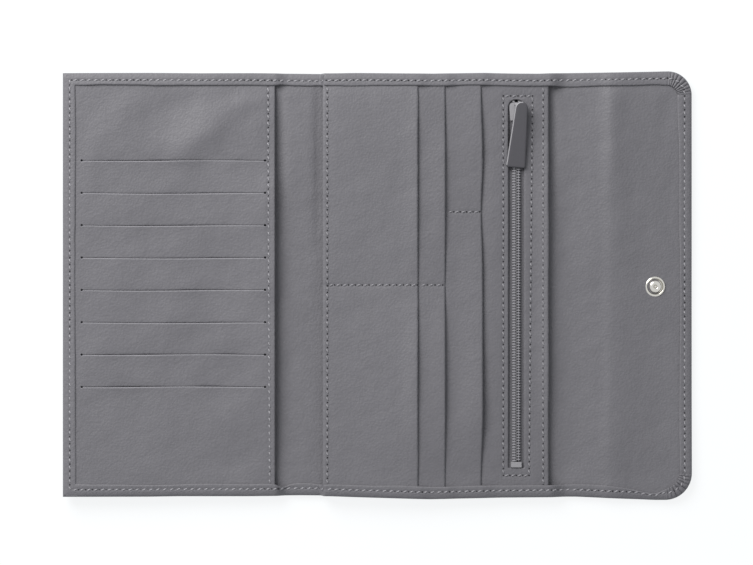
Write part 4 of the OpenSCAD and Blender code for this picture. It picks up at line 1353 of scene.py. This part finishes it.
def turned(name, profile, place, steps=64):
    """A solid of revolution about z from (radius, height) points that start and end on the axis."""
    points = [(0, 0, profile[0][1])]
    for radius, height in profile[1:-1]:
        points.extend(np.insert(circle(radius, steps), 2, height, axis=1).tolist())
    points.append((0, 0, profile[-1][1]))
    rows = len(profile) - 2
    faces = []
    for k in range(steps):
        after = (k + 1) % steps
        faces.append((0, 1 + k, 1 + after))
        for row in range(rows - 1):
            a, b = 1 + row * steps + k, 1 + row * steps + after
            faces.append((a, a + steps, b + steps, b))
        last = 1 + (rows - 1) * steps
        faces.append((last + k, len(points) - 1, last + after))
    return make(name, np.array(points) + place, faces, [NICKEL], sharp=35)


def softened(profile, radius=0.12, steps=3):
    """The same profile with its inner corners rounded."""
    rounded = [profile[0]]
    for before, corner, after in zip(profile, profile[1:], profile[2:]):
        corner = np.array(corner, float)
        ends = []
        for other in (before, after):
            arm = np.array(other, float) - corner
            length = np.linalg.norm(arm)
            ends.append(corner + arm / length * min(radius, 0.45 * length))
        for t in np.linspace(0, 1, steps + 1):
            rounded.append(tuple((1 - t) ** 2 * ends[0] + 2 * t * (1 - t) * corner + t * t * ends[1]))
    rounded.append(profile[-1])
    return rounded


KNOB_R = 3.05
FLANGE_Z = FOLD_Z + 0.05
stud_low, stud_high = node_box("clasp_stud")
STUD_R = (stud_high[0] - stud_low[0]) / 2
STUD_TOP = stud_high[2]

# The stud's profile from its hollow top over the knob and the dished flange, from a radius and a height
HOLLOW = [(0, -0.95), (0.45, -0.9), (0.95, -0.25), (1.2, -0.04), (1.5, 0)]
KNOB = [(-0.95, -0.08), (-0.45, -0.38), (-0.1, -0.8), (0, -1.15)]
DISH = [(-0.3, 0.5), (-0.15, 0.12), (0.35, 0.08), (0.6, 0.45), (0.85, 0.72), (1.15, 0.8)]
FLANGE = [(-0.45, 0.66), (-0.12, 0.35), (0, -0.02), (-0.3, -0.25)]
stud_profile = []
data = [(0, STUD_TOP), (KNOB_R, STUD_TOP), (KNOB_R, FLANGE_Z), (STUD_R, FLANGE_Z)]
for (radius, height), part in zip(data, (HOLLOW, KNOB, DISH, FLANGE)):
    stud_profile += [(radius + out, height + up) for out, up in part]
stud_profile.append((0, FLANGE_Z - 0.25))
stud = turned("clasp_stud_turned", softened(stud_profile[::-1])[::-1], (STUD_X, STUD_Y, 0))
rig.ride(mark(stud, "clasp_metal", "clasp_stud"), "flap")

# Zip pull

PULL_L = 31.7
PULL_HEAD_W = 6.1
PULL_TAIL_W = 9.3
PULL_T = 1.6
PULL_LEAN = math.radians(5.4)
PULL_OFFSET = 2.3
PULL_RISE = 1.6
PULL_REACH = 1.9
HOOK_R = 0.5
CROWN_W = 1.6
LUG_X = CROWN_W / 2 + 0.2
COIL_TOP = node_box("zip_coil_left")[1][2]
HOOK = np.array(JOINTS["pull_swing"]["pos_m"]) / MM
PULL_PITCH = math.asin((HOOK[2] + PULL_RISE - COIL_TOP - 0.1) / (PULL_L - PULL_REACH))

# The blade's rings as (inset, height), the chamfer rings that carry a painted highlight, and its run along their
# outline, over the head's upper left and the left side
BLADE_RINGS = [(0.45, 0), (0.12, 0.1), (0, 0.35), (0, 1.0), (0.05, 1.15), (0.25, 1.4), (0.5, 1.54)]
BLADE_RINGS += [(0.65, 1.585), (0.9, PULL_T), (1.8, PULL_T + 0.02)]
HIGHLIGHT_RINGS = (4, 5)
HIGHLIGHT_RUN = range(14, 45)


def arc(radius, start, end, steps, x=0.0, y=0.0):
    """Points of an arc about x and y."""
    return [(x + radius * math.cos(a), y + radius * math.sin(a)) for a in np.linspace(start, end, steps)]


def blade_outline(inset):
    """The blade from above, drawn in by inset: a round head, straight sides and soft tail corners."""
    head, tail = PULL_HEAD_W / 2 - inset, PULL_TAIL_W / 2 - inset
    end = PULL_HEAD_W / 2 - PULL_L + inset
    corner = max(1.0 - inset, 0.15)
    sides = np.linspace(0, 1, 13)[1:-1]
    points = arc(head, 0, math.pi, 33)
    points += [(-head - (tail - head) * t, (end + corner) * t) for t in sides]
    points += arc(corner, math.pi, 1.5 * math.pi, 7, corner - tail, end + corner)
    points += arc(corner, 1.5 * math.pi, 2 * math.pi, 7, tail - corner, end + corner)
    points += [(tail - (tail - head) * t, (end + corner) * (1 - t)) for t in sides]
    return np.array(points)


def lug_outline(inset):
    """The lug that carries the hook, seen along the hook: a round foot and straight sides."""
    radius, high = HOOK_R + 0.3 - inset, PULL_RISE + 0.15
    sides = [(radius, high * 0.5), (radius, high), (-radius, high), (-radius, high * 0.5)]
    return np.array(arc(radius, math.pi, 2 * math.pi, 17) + sides)


def spun(u, v, angle):
    """Two coordinates turned by an angle."""
    c, s = math.cos(angle), math.sin(angle)
    return c * u - s * v, s * u + c * v


def stacked(rings, first):
    """Faces of a closed body from equal rings, whose points start at first."""
    size = len(rings[0])
    faces = [range(first, first + size)[::-1]]
    for start in range(first, first + (len(rings) - 1) * size, size):
        for i in range(size):
            a, b = start + i, start + (i + 1) % size
            faces.append((a, b, b + size, a + size))
    faces.append(range(first + (len(rings) - 1) * size, first + len(rings) * size))
    return faces


def pull_bodies():
    """Rings of the blade, the lug and the hook, about the hook's middle."""
    blade = []
    for inset, z in BLADE_RINGS:
        x, y = spun(*blade_outline(inset).T, -PULL_LEAN)
        y = PULL_REACH - PULL_HEAD_W / 2 + y
        blade.append(np.column_stack([PULL_OFFSET + x, y, np.full(len(x), PULL_RISE + z)]))
    lug = [(LUG_X, 0.12), (LUG_X + 0.1, 0), (LUG_X + 0.9, 0), (LUG_X + 1, 0.12)]
    hook = [(-LUG_X, 0.15), (-LUG_X + 0.12, 0), (LUG_X + 0.3, 0)]
    lug = [np.insert(lug_outline(inset), 0, x, axis=1) for x, inset in lug]
    hook = [np.insert(circle(HOOK_R - inset, 24), 0, x, axis=1) for x, inset in hook]
    return blade, lug, hook


points, faces = [], []
for rings in pull_bodies():
    faces += stacked(rings, sum(map(len, points)))
    points += rings
x, y, z = np.concatenate(points).T
y, z = spun(y, z, PULL_PITCH)
# The lit left-hand chamfer faces take the painted highlight
highlighted_faces = np.zeros(len(faces), int)
for ring in HIGHLIGHT_RINGS:
    for i in HIGHLIGHT_RUN:
        highlighted_faces[1 + ring * len(points[0]) + i] = 1
placed = np.column_stack([x, y, z]) + HOOK
pull = make("zip_pull_lacquered", placed, faces, [LACQUER, PAINTED_HIGHLIGHT_CHAMFER], highlighted_faces, sharp=50)
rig.ride(mark(pull, "pull_lacquer", "zip_pull"), "pull")

# Finishes of the CAD nodes that stay

CAD_FINISH = [
    (BOARD, ["back_board", "cover_board", "spine_stiffener"]),
    (CARD_CLOTH, ["card_backing"]),
    (NYLON, ["zip_coil_left", "zip_coil_right"]),
    (STOP_METAL, ["zip_top_stops", "zip_bottom_stop"]),
    (SLIDER_METAL, ["zip_slider"]),
    (NICKEL, ["clasp_stud_rivet", "clasp_socket", "clasp_socket_rivet", "clasp_spring"]),
]
for material, nodes in CAD_FINISH:
    for node in nodes:
        mesh = frame["nodes"][node].data
        mesh.materials.clear()
        mesh.materials.append(material)
        remember_rest(mesh, node_points(node))

ROUNDED = {"zip_slider": 0.25, "zip_bottom_stop": 0.2, "zip_top_stops": 0.15, "clasp_socket": 0.15}
for node, radius in ROUNDED.items():
    thing = frame["nodes"][node]
    weld = thing.modifiers.new("weld", "WELD")
    weld.merge_threshold = 0.00001
    bevel = thing.modifiers.new("bevel", "BEVEL")
    bevel.width = radius * MM
    bevel.segments = 3
    bevel.limit_method = "ANGLE"
    bevel.angle_limit = math.radians(50)
    bevel.harden_normals = True

# Stage, light and camera

FLOOR_Z = -0.4
FLOOR_HALF = 4000
FLOOR_GLOW = 0.78
FILL = 0.36
KEY_PLACE = (-0.68, 0.83, 0.88)
KEY_AIM = (-0.02, 0.0, 0)
KEY_SIZE = 1.05
KEY_POWER = 20.6
SENSOR_W = 36
LENS = 150
SEEN_Z = 5.0


def seen_directly(tree):
    """1 for the rays that show a backdrop: straight, in a reflection or through something clear."""
    rays = add(tree, "ShaderNodeLightPath").outputs
    seen = combine(tree, "MAXIMUM", rays["Is Camera Ray"], rays["Is Glossy Ray"])
    return combine(tree, "MAXIMUM", seen, rays["Is Transmission Ray"])


def floor_material():
    """Plain pale floor. What the camera sees of it is lifted to white, and the shadow stays."""
    material, tree, skin = shader("floor")
    skin.inputs["Base Color"].default_value = (0.78, 0.82, 0.85, 1)
    skin.inputs["Roughness"].default_value = 0.9
    skin.inputs["Specular IOR Level"].default_value = 0.0
    glow = add(tree, "ShaderNodeEmission", Color=(0.99, 1.0, 1.005, 1), Strength=1.1)
    blend = add(tree, "ShaderNodeMixShader")
    tree.links.new(combine(tree, "MULTIPLY", seen_directly(tree), FLOOR_GLOW), blend.inputs[0])
    tree.links.new(skin.outputs["BSDF"], blend.inputs[1])
    tree.links.new(glow.outputs["Emission"], blend.inputs[2])
    tree.links.new(blend.outputs["Shader"], tree.nodes["Material Output"].inputs["Surface"])
    return material


corners = [(x * FLOOR_HALF, y * FLOOR_HALF, FLOOR_Z) for x, y in ((-1, -1), (1, -1), (1, 1), (-1, 1))]
floor = make("floor", corners, [(0, 1, 2, 3)], [floor_material()])
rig.stage(floor)

scene = bpy.context.scene
world = bpy.data.worlds.new("studio")
scene.world = world
world.use_nodes = True
sky = world.node_tree
backdrop = sky.nodes["Background"]
backdrop.inputs["Color"].default_value = (0.96, 0.98, 1.0, 1)
strength = combine(sky, "ADD", combine(sky, "MULTIPLY", seen_directly(sky), 1 - FILL), FILL)
sky.links.new(strength, backdrop.inputs["Strength"])

light = bpy.data.lights.new("key", "AREA")
light.shape, light.size, light.energy, light.color = "DISK", KEY_SIZE, KEY_POWER, (1.0, 0.985, 0.965)
lamp = bpy.data.objects.new("key", light)
lamp.location = KEY_PLACE
lamp.rotation_mode = "QUATERNION"
lamp.rotation_quaternion = (Vector(KEY_AIM) - Vector(KEY_PLACE)).to_track_quat("-Z", "Y")
scene.collection.objects.link(lamp)

camera_data = bpy.data.cameras.new("camera")
camera_data.sensor_width = SENSOR_W
camera_data.lens = LENS
camera = bpy.data.objects.new("camera", camera_data)
camera.location = (PHOTO_X * MM, PHOTO_Y * MM, (PHOTO_W * LENS / SENSOR_W + SEEN_Z) * MM)
camera.rotation_euler = (0, 0, 0)
scene.collection.objects.link(camera)
scene.camera = camera

scene.view_settings.view_transform = "Standard"

visual_box = [list(corner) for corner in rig.bounds()]
with open("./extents.json", "w") as out:
    json.dump({"cad": cad_box, "visual": visual_box}, out)
